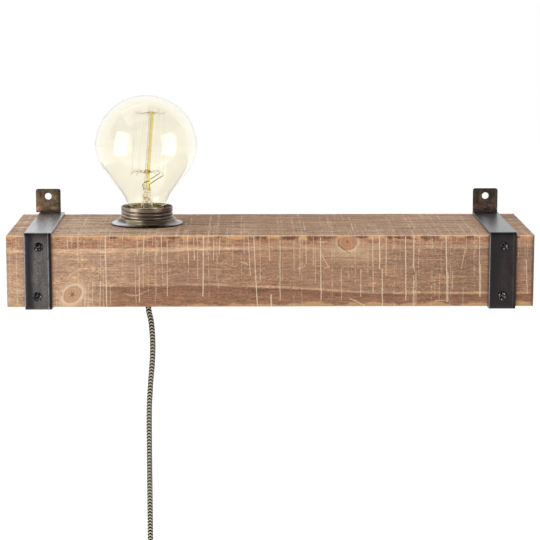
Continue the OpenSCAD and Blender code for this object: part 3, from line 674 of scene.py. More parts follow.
@dataclass(frozen=True)
class BraidFinish:
    """Textile braid in black and beige zigzags, on a UV map of length and way round."""

    name: str = "zigzag_braid"
    repeat: float = 2.6
    peaks: int = 3
    rise: float = 0.75
    black: Colour = field(default_factory=lambda: paint(7, 5, 4))
    beige: Colour = field(default_factory=lambda: paint(255, 246, 226))

    def build(self) -> Material:
        """Make the material, which uses none of the shared effects.

        Returns:
            The material.
        """
        surface = Surface(self.name)
        graph = surface.graph
        length, way, _ = graph.split(graph.uv("braid"))
        turn = way * float(self.peaks)
        zigzag = graph.math("PINGPONG", turn, 0.5)
        rows = length / (self.repeat * MM)
        lane = graph.linear(zigzag, 2 * self.rise, rows)
        phase = graph.math("FRACT", lane + 0.5)
        dark = graph.band(phase, 0.13, 0.85, 0.02)
        threads = graph.math("PINGPONG", lane * 6.0, 0.5)
        ridge = graph.math("SQRT", threads * 2.0)
        cells = graph.join(graph.math("FLOOR", lane * 6.0), turn * 2.0, 0.0)
        lint = graph.noise(cells, 1.0, 2.0)
        light = graph.level(self.beige, graph.remap(lint, 0.3, 0.7, 0.82, 1.06))
        deep = graph.level(self.black, graph.remap(lint, 0.3, 0.7, 0.7, 1.7))
        colour = graph.mix(dark, light, deep)
        shade = graph.remap(ridge, 0.2, 0.9, 0.8, 1.0)
        surface.set(
            Base_Color=graph.level(colour, shade), Roughness=0.85, Normal=graph.bump(ridge, 0.12, 0.8),
            Specular_IOR_Level=0.2,
        )
        return surface.material


@dataclass(frozen=True)
class Knot:
    """A knot in the front of the beam, as a turned ellipse."""

    x: float
    z: float
    wide: float
    tall: float
    tilt: float
    halo: float
    depth: float


@dataclass(frozen=True)
class SawnPoint:
    """What the pine's shader knows of a point: its place, and how much it is on the front or the top."""

    graph: NodeGraph
    effects: Effects
    place: Value
    x: Value
    y: Value
    z: Value
    front: Value
    top: Value

    def line(self, flat: Value, ends: Sequence[float], width: float) -> Value:
        """Mask of a line on the front, between the X and height of its two ends.

        Args:
            flat: The point's X and height.
            ends: X and height of both ends.
            width: Its half width.

        Returns:
            The mask.
        """
        x0, z0, x1, z1 = ends
        return self.graph.use(
            self.effects.stroke, Vector=flat, Start=(x0, z0, 0.0), End=(x1, z1, 0.0), Width=width
        )["Mask"]

    def oval(self, flat: Value, middle: Sequence[float], size: Sequence[float], soft: float) -> Value:
        """Mask of an oval on the front, from the X and height of its middle and its half sizes.

        Args:
            flat: The point's X and height.
            middle: X and height of its middle.
            size: Its half sizes.
            soft: Softness of its border.

        Returns:
            The mask.
        """
        return self.graph.use(
            self.effects.patch, Vector=flat, Centre=(*middle, 0.0), Size=(*size, 1.0), Soft=soft
        )["Mask"]


@dataclass(frozen=True)
class PineFinish:
    """Rough-sawn pine: bands of grain along X, knots, saw marks, chips and worn edges, with painted shade
    where chips broke off and painted shadows beside the straps.
    """

    name: str = "sawn_pine"
    knots: tuple[Knot, ...] = (
        Knot(-148.8, -60.2, 6.8, 5.0, 42.0, 0.8, 0.45), Knot(59.6, -20.2, 6.4, 5.6, -10.0, 0.3, 0.9),
    )
    # Saw marks of the front: X, upper and lower end, half width, strength and lean to the lower end
    marks: tuple[tuple[float, float, float, float, float, float], ...] = (
        (-196.0, -22, -58, 0.5, 0.4, 0.3), (-190.5, -30, -68, 0.45, 0.4, 0.0),
        (-152.1, -15.5, -24.5, 0.5, 1.0, 0.0), (-148.7, -15.5, -25, 0.4, 0.7, 0.0),
        (-144.2, -15.5, -29.5, 0.4, 0.6, 0.0), (-138.9, -56, -70, 0.4, 0.7, -0.9),
        (-136.3, -52, -70, 0.4, 0.6, -1.0), (-127.1, -17.5, -45, 0.45, 0.6, 0.0),
        (-127.2, -50, -70, 0.5, 0.9, -1.2), (-125.2, -40, -70, 0.35, 0.5, 0.0),
        (-123.4, -15.5, -70, 0.6, 1.0, 0.4), (-119.9, -52, -68, 0.4, 0.5, 0.0),
        (-160.3, -57, -70, 0.4, 0.6, -0.6), (-155.8, -64, -70, 0.4, 0.6, -0.5),
        (-101.2, -30, -69, 0.4, 0.55, 0.5), (-99.3, -16, -30, 0.45, 0.9, 0.0),
        (-98.0, -39, -66, 0.45, 0.85, 0.0), (-94.2, -15.5, -29, 0.5, 0.95, -0.4),
        (-95.2, -28, -55, 0.38, 0.6, 0.0), (-87.6, -16, -22, 0.5, 0.6, 0.0),
        (-84.5, -19, -31, 0.45, 0.7, 0.0), (-81.0, -15.5, -34, 0.45, 0.9, 0.3),
        (-80.5, -34, -54, 0.35, 0.55, 0.3), (-76.6, -19, -61.5, 0.45, 0.8, -0.2),
        (-68.1, -17, -36, 0.35, 0.4, 0.0), (-61.4, -15.5, -36, 0.45, 0.85, 0.8),
        (-56.7, -16.5, -33.5, 0.5, 0.75, 0.6), (-53.7, -15.5, -48, 0.4, 0.7, 0.0),
        (-49.2, -15.5, -61.5, 0.6, 1.0, -0.6), (-46.5, -16, -30, 0.4, 0.6, 0.0),
        (-41.5, -19, -34.5, 0.5, 0.75, -0.3), (-133.2, -50, -69, 0.4, 0.6, -0.7),
        (-36.8, -16.5, -29.5, 0.5, 0.85, -0.6), (-30.2, -16, -26.5, 0.4, 0.55, 0.0),
        (-27.0, -22.5, -33, 0.45, 0.5, 0.0), (-18.8, -16.5, -28, 0.4, 0.5, 0.3),
        (-15.6, -15.5, -45.5, 0.45, 0.85, 1.8), (-11.4, -15.5, -69, 0.5, 1.0, 2.8),
        (-6.4, -17, -51, 0.4, 0.6, 0.0), (0.2, -16.5, -34.5, 0.45, 0.7, 0.4),
        (-141.9, -62, -70, 0.4, 0.6, -0.8), (1.8, -61, -69.8, 0.9, 0.8, 0.3),
        (8.7, -19, -65, 0.45, 0.85, 0.0), (19.1, -18.5, -39, 0.4, 0.6, 0.0),
        (23.9, -17, -45.5, 0.45, 0.7, -0.3), (28.3, -16.5, -36.5, 0.45, 0.6, 0.3),
        (33.7, -16.5, -38, 0.4, 0.6, 0.2), (35.3, -22.5, -51.5, 0.4, 0.55, 0.2),
        (39.2, -17, -65, 0.5, 1.0, 0.7), (55.1, -40, -65, 0.5, 0.5, 0.4),
        (70.0, -41.5, -62, 0.55, 0.7, 0.0), (75.2, -26, -45.5, 0.4, 0.5, 0.2),
        (78.6, -16.5, -59, 0.5, 0.75, 0.9), (84.0, -15.5, -41, 0.65, 1.0, 0.2),
        (89.0, -16.5, -46, 0.5, 0.85, 0.0), (86.2, -41, -70, 0.7, 0.8, 0.3),
        (94.7, -16.5, -25, 0.5, 0.6, 0.0), (99.5, -19, -36, 0.4, 0.4, 0.0),
        (103.6, -16.5, -65, 0.55, 1.0, 0.8), (109.8, -16, -40, 0.75, 0.75, 0.0),
        (110.0, -46, -70, 0.5, 0.75, 0.0), (111.8, -43, -68, 0.45, 0.6, 0.3),
        (114.4, -16.5, -29, 0.45, 0.6, 0.0), (126.3, -52, -61, 0.4, 0.55, 0.0),
        (129.6, -46, -65, 0.5, 0.45, 0.0), (134.2, -15.5, -46, 0.6, 1.0, 1.0),
        (135.6, -44, -66, 1.3, 0.65, 0.3), (139.5, -43, -57, 0.8, 0.45, 0.0),
        (147.8, -56, -69, 0.4, 0.4, 0.0), (159.6, -16.5, -44, 0.5, 0.8, 0.4),
        (160.4, -38, -62, 1.1, 0.7, 0.3), (195.3, -34, -60, 0.5, 0.7, 1.4),
    )
    # Splinters and scuffs of the front: X and height of both ends, half width
    scuffs: tuple[tuple[float, float, float, float, float], ...] = (
        (-110.0, -59.2, -104.2, -61.3, 0.5), (-104.2, -61.3, -98.5, -60.7, 0.5),
        (-98.5, -60.7, -93.3, -57.9, 0.45), (39.4, -28.5, 45.6, -39.6, 0.6),
        (42.5, -40.5, 46.0, -38.8, 0.6), (22.8, -41.2, 28.0, -38.0, 0.45),
        (-20.8, -35.3, -16.2, -37.2, 0.7), (148.8, -25.5, 146.2, -41.0, 0.5),
        (127.0, -65.4, 133.6, -65.3, 0.6), (62.0, -64.0, 67.5, -66.3, 1.0), (67.5, -66.3, 72.5, -69.0, 1.0),
        (79.0, -33.0, 133.0, -34.0, 0.3), (-152.0, -46.0, -141.0, -39.5, 0.5),
    )
    # Dry cracks in and near the knots: X and height of both ends, half width
    cracks: tuple[tuple[float, float, float, float, float], ...] = (
        (-150.4, -62.0, -147.5, -58.3, 0.4), (-151.0, -59.3, -147.0, -60.9, 0.35),
        (-149.5, -57.7, -148.5, -62.8, 0.3), (-157.2, -61.4, -156.4, -58.8, 0.3),
        (52.6, -22.4, 55.8, -25.4, 0.4), (55.8, -25.4, 61.6, -28.9, 0.4), (46.4, -28.6, 46.6, -30.0, 0.5),
        (42.0, -32.3, 70.0, -32.6, 0.25), (-142.0, -67.0, -140.6, -64.0, 0.3),
        (-160.6, -65.0, -160.2, -63.6, 0.4),
    )
    # Hollows where chips broke off the top front edge: X, half length and depth
    chips: tuple[tuple[float, float, float], ...] = (
        (-72.0, 5.5, 1.1), (-38.0, 3.0, 0.6), (-8.6, 2.0, 0.9), (-3.3, 2.0, 1.1), (16.2, 7.0, 1.9),
        (33.5, 5.0, 2.4), (44.0, 8.0, 1.1), (70.5, 5.5, 1.1), (91.0, 3.0, 1.0), (98.5, 5.0, 1.0),
        (105.0, 3.0, 1.1), (119.3, 5.0, 1.9), (126.0, 3.0, 1.6), (152.0, 3.5, 1.0), (-118.0, 4.0, 0.8),
        (187.0, 4.0, 0.9),
    )
    # Painted shadow beside the straps: X where it is darkest and where it ends
    dusty: tuple[tuple[float, float], ...] = ((-164.9, -162.9), (167.9, 165.6), (187.0, 189.6))
    # Fine saw lines: their spacing, half width, longest run and strength
    fine_lines: tuple[tuple[float, float, float, float], ...] = (
        (1.5, 0.28, 16.0, 0.6), (3.1, 0.32, 48.0, 0.75), (7.0, 0.4, 70.0, 0.9),
    )

    def _bent_height(self, graph: NodeGraph, x: Value, z: Value) -> Value:
        """Height as the grain sees it: it parts round each knot.

        Args:
            graph: The nodes that it joins.
            x: X in millimetres.
            z: Height in millimetres.

        Returns:
            The height.
        """
        height = z
        for knot in self.knots:
            dx = (x - knot.x) / (3.0 * knot.wide)
            dz = z - knot.z
            wide = dz / (2.0 * knot.tall)
            away = graph.linear(dx, dx, wide * wide)
            pull = graph.math("POWER", 2.718, away * -1.0)
            side = dz / (abs(dz) + 1.5)
            height = graph.linear(pull * side, -0.8 * knot.tall, height)
        return height

    def build(self, effects: Effects) -> Material:
        """Make the material from the shared effects.

        Args:
            effects: The shared effects.

        Returns:
            The material.
        """
        surface = Surface(self.name)
        graph = surface.graph
        place = graph.place()
        x, y, z = graph.split(place)
        drift = graph.cloud(place, (0.009, 0.02, 0.02)) - 0.5
        height = graph.linear(drift, 3.0, self._bent_height(graph, x, z))
        front = graph.remap(y, -115.0, -115.8)
        top = graph.remap(z, -16.0, -15.3)
        ends = graph.remap(abs(x - 1.5), 199.2, 199.8)

        at = SawnPoint(graph, effects, place, x, y, z, front, top)
        body = self._with_bands(at, height)
        crown = self._crown(at)
        body = graph.mix(top, body, crown)
        away_y = y + 30.0
        away_z = height + 190.0
        ring = graph.math("SQRT", graph.linear(away_y, away_y, away_z * away_z))
        arcs = graph.math("FRACT", graph.linear(graph.noise(place, 30.0, 1.0), 1.5, ring / 5.2))
        arcs = graph.remap(arcs, 0.55, 0.98, 0.0, 0.8)
        body = graph.mix(ends, body, graph.mix(arcs, paint(182, 146, 116), paint(124, 88, 64)))

        speck = graph.cloud(place, (0.45, 1.25, 1.25), 3.0, 0.7)
        fibre = graph.cloud(place, (0.1, 1.3, 1.3), 3.0, 0.6)
        coarse = graph.cloud(place, (0.07, 0.5, 0.5), 4.0, 0.7, shift=4.0)
        strong = graph.cloud(place, (0.02, 0.05, 0.05), shift=8.0)
        plain, speckled = graph.remap(speck, 0.3, 0.7, 0.76, 1.2), graph.remap(speck, 0.3, 0.7, 0.6, 1.34)
        share = graph.remap(strong, 0.4, 0.6)
        body = graph.level(body, graph.linear(share, speckled - plain, plain))
        body = graph.level(body, graph.remap(coarse, 0.3, 0.7, 0.78, 1.2))
        body = graph.level(body, graph.remap(fibre, 0.28, 0.72, 0.82, 1.16))
        pores = graph.remap(graph.cloud(place, (0.5, 1.7, 1.7), shift=9.0), 0.66, 0.76)
        body = graph.mix(pores * 0.5, body, paint(104, 72, 54))

        body, knot_relief = self._with_knots(at, body)
        body = self._with_edges(at, body)
        body, cut = self._with_marks(at, body)
        body = self._with_grime(at, body)

        relief = graph.linear(fibre, 0.5, speck * 0.7)
        relief = graph.linear(cut, 0.35, relief)
        relief = graph.linear(pores, -0.5, relief)
        relief = relief + knot_relief
        surface.set(
            Base_Color=body, Roughness=graph.remap(fibre, 0.3, 0.7, 0.72, 0.9),
            Normal=graph.bump(relief, 0.25, 0.6), Specular_IOR_Level=0.3,
        )
        return surface.material

    @staticmethod
    def _with_bands(at: SawnPoint, height: Value) -> Value:
        """Colour of the sides: tan to brown along X, between a reddish upper and a dark lower band.

        Args:
            at: What is known of the shader's point.
            height: Height as the grain sees it.

        Returns:
            The colour.
        """
        graph, place, x, z = at.graph, at.place, at.x, at.z
        broad = graph.cloud(place, (0.012, 0.05, 0.07), 3.0, 0.6)
        warm = graph.cloud(place, (0.03, 0.09, 0.12), 3.0, 0.6, shift=5.0)
        run = graph.remap(graph.linear(broad, 70.0, x), -110.0, -15.0)
        body = graph.mix(run, paint(188, 150, 121), paint(160, 122, 96))
        body = graph.mix(graph.remap(x, 60.0, 150.0), body, paint(148, 113, 90))
        body = graph.mix(graph.remap(warm, 0.52, 0.66, 0.0, 0.45), body, paint(150, 118, 102))
        body = graph.mix(graph.remap(warm, 0.46, 0.34, 0.0, 0.4), body, paint(188, 144, 108))

        upper_end = graph.linear(x, 0.0105, -22.9)
        over = height - upper_end
        upper = graph.remap(over, -0.5, 0.3)
        redness = graph.cloud(place, (0.07, 0.3, 0.3), shift=2.0)
        red = graph.mix(graph.remap(redness, 0.42, 0.6), paint(180, 136, 103), paint(156, 108, 84))
        pale = graph.band(over, -3.6, -0.5, 0.7)
        pale_share = graph.remap(x, -60.0, 20.0, 0.75, 0.35)
        body = graph.mix(pale * pale_share, body, paint(212, 174, 138))
        body = graph.mix(upper * 0.85, body, red)

        low_top = graph.remap(x, -60.0, 115.0, -54.0, -60.5)
        wander = graph.cloud(place, (0.02, 0.02, 0.05)) - 0.5
        under = low_top - graph.linear(wander, 2.0, z)
        low = graph.remap(under, -0.4, 0.5) * graph.remap(x, -142.0, -122.0)
        deep = graph.mix(graph.remap(under, 0.5, 7.0, 0.15, 0.75), paint(128, 88, 69), paint(152, 110, 84))
        body = graph.mix(low * 0.9, body, deep)
        lip = graph.band(under, -1.9, -0.5, 0.4) * graph.remap(x, -142.0, 0.0, 0.1, 0.6)
        body = graph.mix(lip, body, paint(198, 160, 124))
        left = graph.remap(x, -105.0, -145.0) * graph.remap(z, -48.0, -58.0)
        return graph.mix(left * 0.35, body, paint(200, 166, 136))

    @staticmethod
    def _crown(at: SawnPoint) -> Value:
        """Colour of the top: greyer, with long streaks.

        Args:
            at: What is known of the shader's point.

        Returns:
            The colour.
        """
        graph, place, x = at.graph, at.place, at.x
        streak = graph.cloud(place, (0.012, 0.22, 0.0), 4.0, 0.65, shift=3.0)
        lines = graph.cloud(place, (0.03, 1.0, 0.0), 3.0)
        crown = graph.mix(graph.remap(x, -150.0, -40.0), paint(196, 168, 144), paint(171, 136, 108))
        crown = graph.mix(graph.remap(x, 60.0, 160.0, 0.0, 0.5), crown, paint(180, 152, 130))
        crown = graph.mix(graph.remap(streak, 0.42, 0.62, 0.0, 0.95), crown, paint(134, 98, 75))
        fleck = graph.cloud(place, (0.28, 0.3, 0.0), 4.0, 0.75, shift=6.0)
        crown = graph.level(crown, graph.remap(fleck, 0.3, 0.7, 0.68, 1.32))
        return graph.mix(graph.remap(lines, 0.48, 0.68, 0.0, 0.6), crown, paint(222, 194, 166))

    def _with_knots(self, at: SawnPoint, body: Value) -> tuple[Value, Value]:
        """Colour with the two knots of the front in it, and their relief.

        Args:
            at: What is known of the shader's point.
            body: The colour so far.

        Returns:
            The colour and the relief.
        """
        graph, place, x, z, front = at.graph, at.place, at.x, at.z, at.front
        warp = graph.cloud(place, (0.2, 0.0, 0.2), 3.0) - 0.5
        flat = graph.join(x, z, 0.0)
        relief: Value = warp * 0.0
        lens = at.oval(flat, (60.0, -28.3), (22.0, 6.5), 0.9)
        body = graph.mix(lens * front * 0.5, body, paint(200, 168, 134))
        for knot in self.knots:
            c, s = math.cos(math.radians(knot.tilt)), math.sin(math.radians(knot.tilt))
            dx, dz = x - knot.x, z - knot.z
            along = graph.linear(dx, c / knot.wide, dz * (s / knot.wide))
            across = graph.linear(dx, -s / knot.tall, dz * (c / knot.tall))
            away = graph.math("SQRT", graph.linear(along, along, across * across))
            away = graph.linear(warp, 0.32, away)
            halo = graph.remap(away, 2.3, 1.2, 0.0, knot.halo) * front
            rim = graph.band(away, 1.22, 1.42, 0.09) * front
            disc = graph.remap(away, 1.14, 1.02) * front
            dark_rim = graph.band(away, 1.0, 1.12, 0.07) * front
            rings = graph.remap(graph.math("PINGPONG", away, 0.2), 0.04, 0.18)
            core = graph.remap(away, 0.26, 0.1) * front
            body = graph.mix(halo, body, paint(208, 174, 144))
            body = graph.mix(rim * (0.7 * knot.halo + 0.1), body, paint(222, 194, 164))
            body = graph.mix(disc * knot.depth, body, paint(178, 128, 94))
            body = graph.mix(disc * rings * 0.3, body, paint(150, 102, 74))
            body = graph.mix(dark_rim * (0.4 * knot.depth), body, paint(134, 92, 68))
            body = graph.mix(core * (0.7 * knot.depth), body, paint(112, 70, 52))
            relief = graph.linear(disc * rings, -0.5, relief)
        cracks: Value = warp * 0.0
        for *ends, width in self.cracks:
            cracks = cracks | at.line(flat, ends, width)
        cracks = cracks * front
        body = graph.mix(cracks * 0.75, body, paint(70, 48, 40))
        return body, graph.linear(cracks, -0.8, relief)

    def _with_edges(self, at: SawnPoint, body: Value) -> Value:
        """Colour with golden worn edges, and painted shade where chips broke off under the top front edge.

        Args:
            at: What is known of the shader's point.
            body: The colour so far.

        Returns:
            The colour.
        """
        graph, place, x, y, z, front = at.graph, at.place, at.x, at.y, at.z, at.front
        ragged = graph.cloud(place, (0.35, 0.9, 0.9), 4.0, 0.7) - 0.5
        clumps = graph.cloud(place, (0.055, 0.0, 0.0), shift=7.0)
        flat = graph.join(x, graph.linear(ragged, 4.5, z), 0.0)
        reach = graph.remap(clumps, 0.35, 0.65, 0.4, 3.6)
        depth = graph.linear(ragged, -5.0, -15.4 - z)
        gold = graph.remap(reach - depth, 0.0, 0.8) * front
        body = graph.mix(gold * 0.6, body, paint(214, 160, 108))
        chip_shade: Value = front * 0.0
        for chip_x, half, deep in self.chips:
            chip = at.oval(flat, (chip_x, BEAM_TOP - 1.0), (half, 0.6 + 1.2 * deep), 0.3)
            chip_shade = chip_shade | chip
        chip_shade = chip_shade * front * graph.remap(z, -15.4, -16.0)
        # Painted shade where the chips broke off
        body = graph.mix(chip_shade * 0.85, body, paint(100, 58, 42))
        crest = (BEAM_TOP - z) | (y - BEAM_FRONT)
        bright = graph.use(at.effects.wear, Vector=place, Distance=crest, Width=1.3)
        body = graph.mix(bright["Mask"] * 0.6, body, paint(222, 188, 148))
        rise = graph.linear(ragged, 4.0, z - BEAM_BOTTOM)
        foot = graph.remap(graph.cloud(place, (0.045, 0.0, 0.0)), 0.3, 0.65, 0.8, 4.6)
        foot = foot * graph.remap(x, -110.0, 30.0, 0.45, 1.0)
        worn = graph.remap(foot - rise, -0.3, 1.4) * front
        body = graph.mix(worn * 0.6, body, paint(206, 162, 112))
        right = graph.remap(x, 198.6, 200.4) * graph.remap(ragged, -0.2, 0.02)
        return graph.mix(right * front * 0.85, body, paint(92, 62, 46))

    def _with_marks(self, at: SawnPoint, body: Value) -> tuple[Value, Value]:
        """Colour with pale saw marks and splinters, and their mask.

        Args:
            at: What is known of the shader's point.
            body: The colour so far.

        Returns:
            The colour and the mask.
        """
        graph, x, z, front = at.graph, at.x, at.z, at.front
        sway = graph.noise(graph.join(x * 0.4, z * 0.16, 0.0), 1.0, 2.0) - 0.5
        flat = graph.join(graph.linear(sway, 0.9, x), z, 0.0)
        placed: Value = front * 0.0
        for mark_x, high, low, width, strength, lean in self.marks:
            mark = at.line(flat, (mark_x, high, mark_x + lean, low), width)
            placed = placed | (mark * strength)
        crumbs = graph.noise(graph.join(x * 1.6, z * 0.8, 1.0), 1.0, 4.0, 0.7)
        placed = placed * graph.remap(crumbs, 0.32, 0.54, 0.22, 1.0)
        fine = self._fine_lines(at, at.top + 1.0)
        total = (placed * front) | (fine * 0.78)
        tint = graph.mix(graph.remap(sway, -0.15, 0.2), paint(232, 204, 170), paint(226, 210, 190))
        body = graph.mix(total * 0.85, body, tint)
        chafed: Value = front * 0.0
        for *ends, width in self.scuffs:
            chafed = chafed | at.line(flat, ends, width)
        chafed = chafed * front * graph.remap(crumbs, 0.36, 0.58, 0.1, 1.0)
        body = graph.mix(chafed * 0.7, body, paint(226, 192, 146))
        return body, total | chafed

    def _with_grime(self, at: SawnPoint, body: Value) -> Value:
        """Colour with the painted shadow that the straps cast beside them.

        Args:
            at: What is known of the shader's point.
            body: The colour so far.

        Returns:
            The colour.
        """
        graph, x, front = at.graph, at.x, at.front
        shadow_mask: Value = front * 0.0
        for start, end in self.dusty:
            beside = graph.remap(x, end, start) * graph.band(x, start - 4.0, start + 4.0, 0.1)
            shadow_mask = shadow_mask | beside
        # Painted shadow, dark brown on the front beside each strap
        return graph.mix(shadow_mask * front * 0.75, body, paint(66, 42, 32))

    def _fine_lines(self, at: SawnPoint, broad: Value) -> Value:
        """Mask of fine saw lines at fixed places along X, from the top front edge down and back.

        Args:
            at: The point.
            broad: How many times the lines are as wide as on the front.

        Returns:
            The mask.
        """
        graph, x, y, z = at.graph, at.x, at.y, at.z
        total: Value = x * 0.0
        back = ((y - BEAM_FRONT) | 0.0) * 0.3
        travel = back + (BEAM_TOP - z)
        for spacing, width, reach, strength in self.fine_lines:
            sway = graph.noise(graph.join(x * 0.05, spacing, travel * 0.04), 1.0, 1.0)
            turn = graph.linear(sway, 2.0, x) / spacing
            cells = graph.outputs("ShaderNodeTexVoronoi", {"W": turn, "Scale": 1.0}, voronoi_dimensions="1D")
            gap = cells["Distance"] * spacing / broad
            line = graph.remap(gap, width, width * 0.3)
            chance = graph.split(cells["Color"])
            length = graph.linear(chance[0], reach, 3.0)
            ended = graph.remap(travel - length, 2.0, -5.0)
            lane = graph.join(cells["W"] * 5.3, travel * 0.2, 0.0)
            broken = graph.remap(graph.noise(lane, 1.0, 4.0, 0.75), 0.42, 0.6)
            mark = line * ended * (broken * graph.remap(chance[1], 0.2, 0.8))
            total = total | (mark * strength)
        return total


@dataclass(frozen=True)
class StrapFinish:
    """Dark rolled steel on a UV map of place across and along the bar, in metres, with painted light and
    shade on its front and top runs.
    """

    name: str
    # front: dark colour of the painted shade on the left bevel and near the bends; front_light: the speckled
    # middle
    front: Colour
    front_light: Colour
    # top: pale painted reflection of the top run; back: its darker end next to the wall
    top: Colour
    back: Colour
    # crest: colour of the painted highlights on the crest and along the top's borders; shine: strength of the
    # crest highlight
    crest: Colour
    shine: float = 0.5
    grain: float = 0.4

    def _face(self, graph: NodeGraph, effects: Effects, place: Value, across: Value) -> Value:
        """Colour of the front run: painted shade on the left bevel, near the bends and on the right side, a
        speckled middle, a painted highlight on the outer left edge and a painted crest highlight at the
        right.

        Args:
            graph: The nodes that it joins.
            effects: The shared effects.
            place: Object coordinates in millimetres.
            across: Place across the bar, in millimetres.

        Returns:
            The colour.
        """
        _, _, z = graph.split(place)
        speckle = graph.cloud(place, (1.1, 1.1, 0.9), 4.0, 0.8)
        cloud = graph.cloud(place, (0.2, 0.2, 0.05), 3.0)
        gain = graph.remap(speckle, 0.32, 0.68, 1.0 - self.grain, 1.0 + self.grain)
        middle = graph.level(self.front_light, gain)
        middle = graph.level(middle, graph.remap(cloud, 0.3, 0.7, 0.8, 1.16))
        # Painted shade on the left bevel
        edge = graph.linear(cloud - 0.5, 2.0, across)
        face = graph.mix(graph.remap(edge, -0.5, -6.5), middle, self.front)
        # Painted shade near the top and bottom bends
        ends = graph.remap(z, -22.0, -15.0) | graph.remap(z, -64.0, -71.0)
        face = graph.mix(ends * 0.5, face, self.front)
        # Painted highlight along the outer left edge, laid with the edge wear mask
        rim = graph.use(effects.wear, Vector=place, Distance=across + 9.9, Width=0.7)
        face = graph.mix(rim["Mask"] * 0.8, face, paint(124, 126, 134))
        # Painted crest highlight, broken up by a cloud
        highlight_breaks = graph.remap(graph.cloud(place, (0.5, 0.5, 0.12)), 0.36, 0.52, 0.3, 1.0)
        crest = graph.band(across, 7.7, 8.05, 0.2) * highlight_breaks
        face = graph.mix(crest * self.shine, face, self.crest)
        # Painted shade on the right side of the bar
        return graph.mix(graph.remap(across, 8.2, 8.8), face, paint(44, 36, 35))

    def build(self, effects: Effects) -> Material:
        """Make the material from the shared effects.

        Args:
            effects: The shared effects.

        Returns:
            The material.
        """
        surface = Surface(self.name)
        graph = surface.graph
        place = graph.place()
        across, along, _ = graph.split(graph.stretch(graph.uv("bar"), (1 / MM,) * 3))
        side = abs(across)
        fine = graph.use(effects.mottle, Vector=graph.stretch(place, (1.0, 1.0, 0.35)), Size=1.6)
        brushed = graph.cloud(place, (1.6, 0.02, 1.0), 3.0, 0.6)
        crown = graph.level(self.top, graph.remap(brushed, 0.3, 0.7, 0.8, 1.14))
        # Painted highlights along both borders of the top run, laid with the edge wear mask
        border = graph.use(effects.wear, Vector=place, Distance=10.0 - side, Width=0.7)
        crown = graph.mix(border["Mask"] * 0.8, crown, self.crest)
        # Painted reflection: the top run fades to the darker back colour over the 26 mm next to the wall, not
        # a heat tint
        heat = graph.remap(along, 26.0, 2.0)
        crown = graph.mix(heat * 0.75, crown, self.back)
        level = graph.remap(along, 113.5, 115.5)
        colour = graph.mix(level, crown, self._face(graph, effects, place, across))
        # Painted shade line at the top bend
        bend_shade = graph.band(along, 114.6, 115.8, 0.4)
        colour = graph.mix(bend_shade * 0.7, colour, paint(30, 29, 31))
        rough = graph.remap(level, 0.0, 1.0, 0.30, 0.42)
        rough = graph.linear(fine["Grain"] - 0.5, 0.3, rough)
        surface.set(
            Base_Color=colour, Metallic=1.0, Roughness=rough, Normal=graph.bump(fine["Grain"], 0.05, 0.5),
        )
        return surface.material


@dataclass(frozen=True)
class PatinaFinish:
    """Steel with a brown and olive patina, with spots of heat tint and spatter above the weld, and painted
    shade along its right edge.
    """

    name: str
    olive: Colour
    brown: Colour
    middle: float
    spots: tuple[tuple[float, float, float, float, Colour], ...]
    spatter: float = 0.5
    foot: float = -13.0

    def build(self, effects: Effects) -> Material:
        """Make the material from the shared effects.

        Args:
            effects: The shared effects.

        Returns:
            The material.
        """
        surface = Surface(self.name)
        graph = surface.graph
        place = graph.place()
        x, _, z = graph.split(place)
        across = x - self.middle
        broad = graph.use(effects.mottle, Vector=place, Size=7.0)
        fine = graph.use(effects.mottle, Vector=place, Size=1.3)
        lines = graph.use(effects.scratches, Vector=place, Spacing=0.7, Width=0.08)
        colour = graph.mix(broad["Tone"], self.olive, self.brown)
        colour = graph.level(colour, graph.remap(fine["Tone"], 0.0, 1.0, 0.6, 1.35))
        colour = graph.level(colour, graph.remap(z, -4.0, 5.5, 1.1, 0.72))
        # Painted shade along the right edge of the tab
        colour = graph.mix(graph.remap(across, 6.5, 9.0, 0.0, 0.6), colour, paint(62, 60, 62))
        ragged = graph.cloud(place, (0.9, 0.9, 0.9), 3.0, 0.7)
        shifted = graph.join(
            graph.linear(ragged, 3.0, across - 1.5), 0.0,
            graph.linear(ragged, 2.0, z - self.foot - 1.0),
        )
        for spot_x, rise, wide, tall, tint in self.spots:
            centre, size = (spot_x, 0.0, rise), (wide, 1.0, tall)
            spot = graph.use(effects.patch, Vector=shifted, Centre=centre, Size=size, Soft=0.5)["Mask"]
            colour = graph.mix(spot * 0.75, colour, tint)
        specks = graph.remap(graph.noise(place, 0.8, 2.0), 0.6, 0.68)
        near = graph.remap(z, self.foot + 7.0, self.foot + 3.5)
        specks = specks * near * self.spatter
        colour = graph.mix(specks, colour, paint(222, 210, 196))
        colour = graph.mix(lines["Mask"] * 0.3, colour, paint(190, 180, 160))
        surface.set(
            Base_Color=colour,
            Metallic=0.85,
            Roughness=graph.remap(fine["Tone"], 0.0, 1.0, 0.38, 0.62),
            Normal=graph.bump(fine["Grain"], 0.06, 0.6),
        )
        return surface.material


# ---------------------------------------------------------------- mesh building


def corners_of(made: Iterable) -> list:
    """The corners among what an operator made."""
    return [element for element in made if isinstance(element, bmesh.types.BMVert)]


def edges_between(made: Iterable, corners: Iterable) -> list:
    """The edges among what an operator made whose ends are both among the corners."""
    inside = set(corners)
    return [e for e in made if isinstance(e, bmesh.types.BMEdge) and set(e.verts) <= inside]


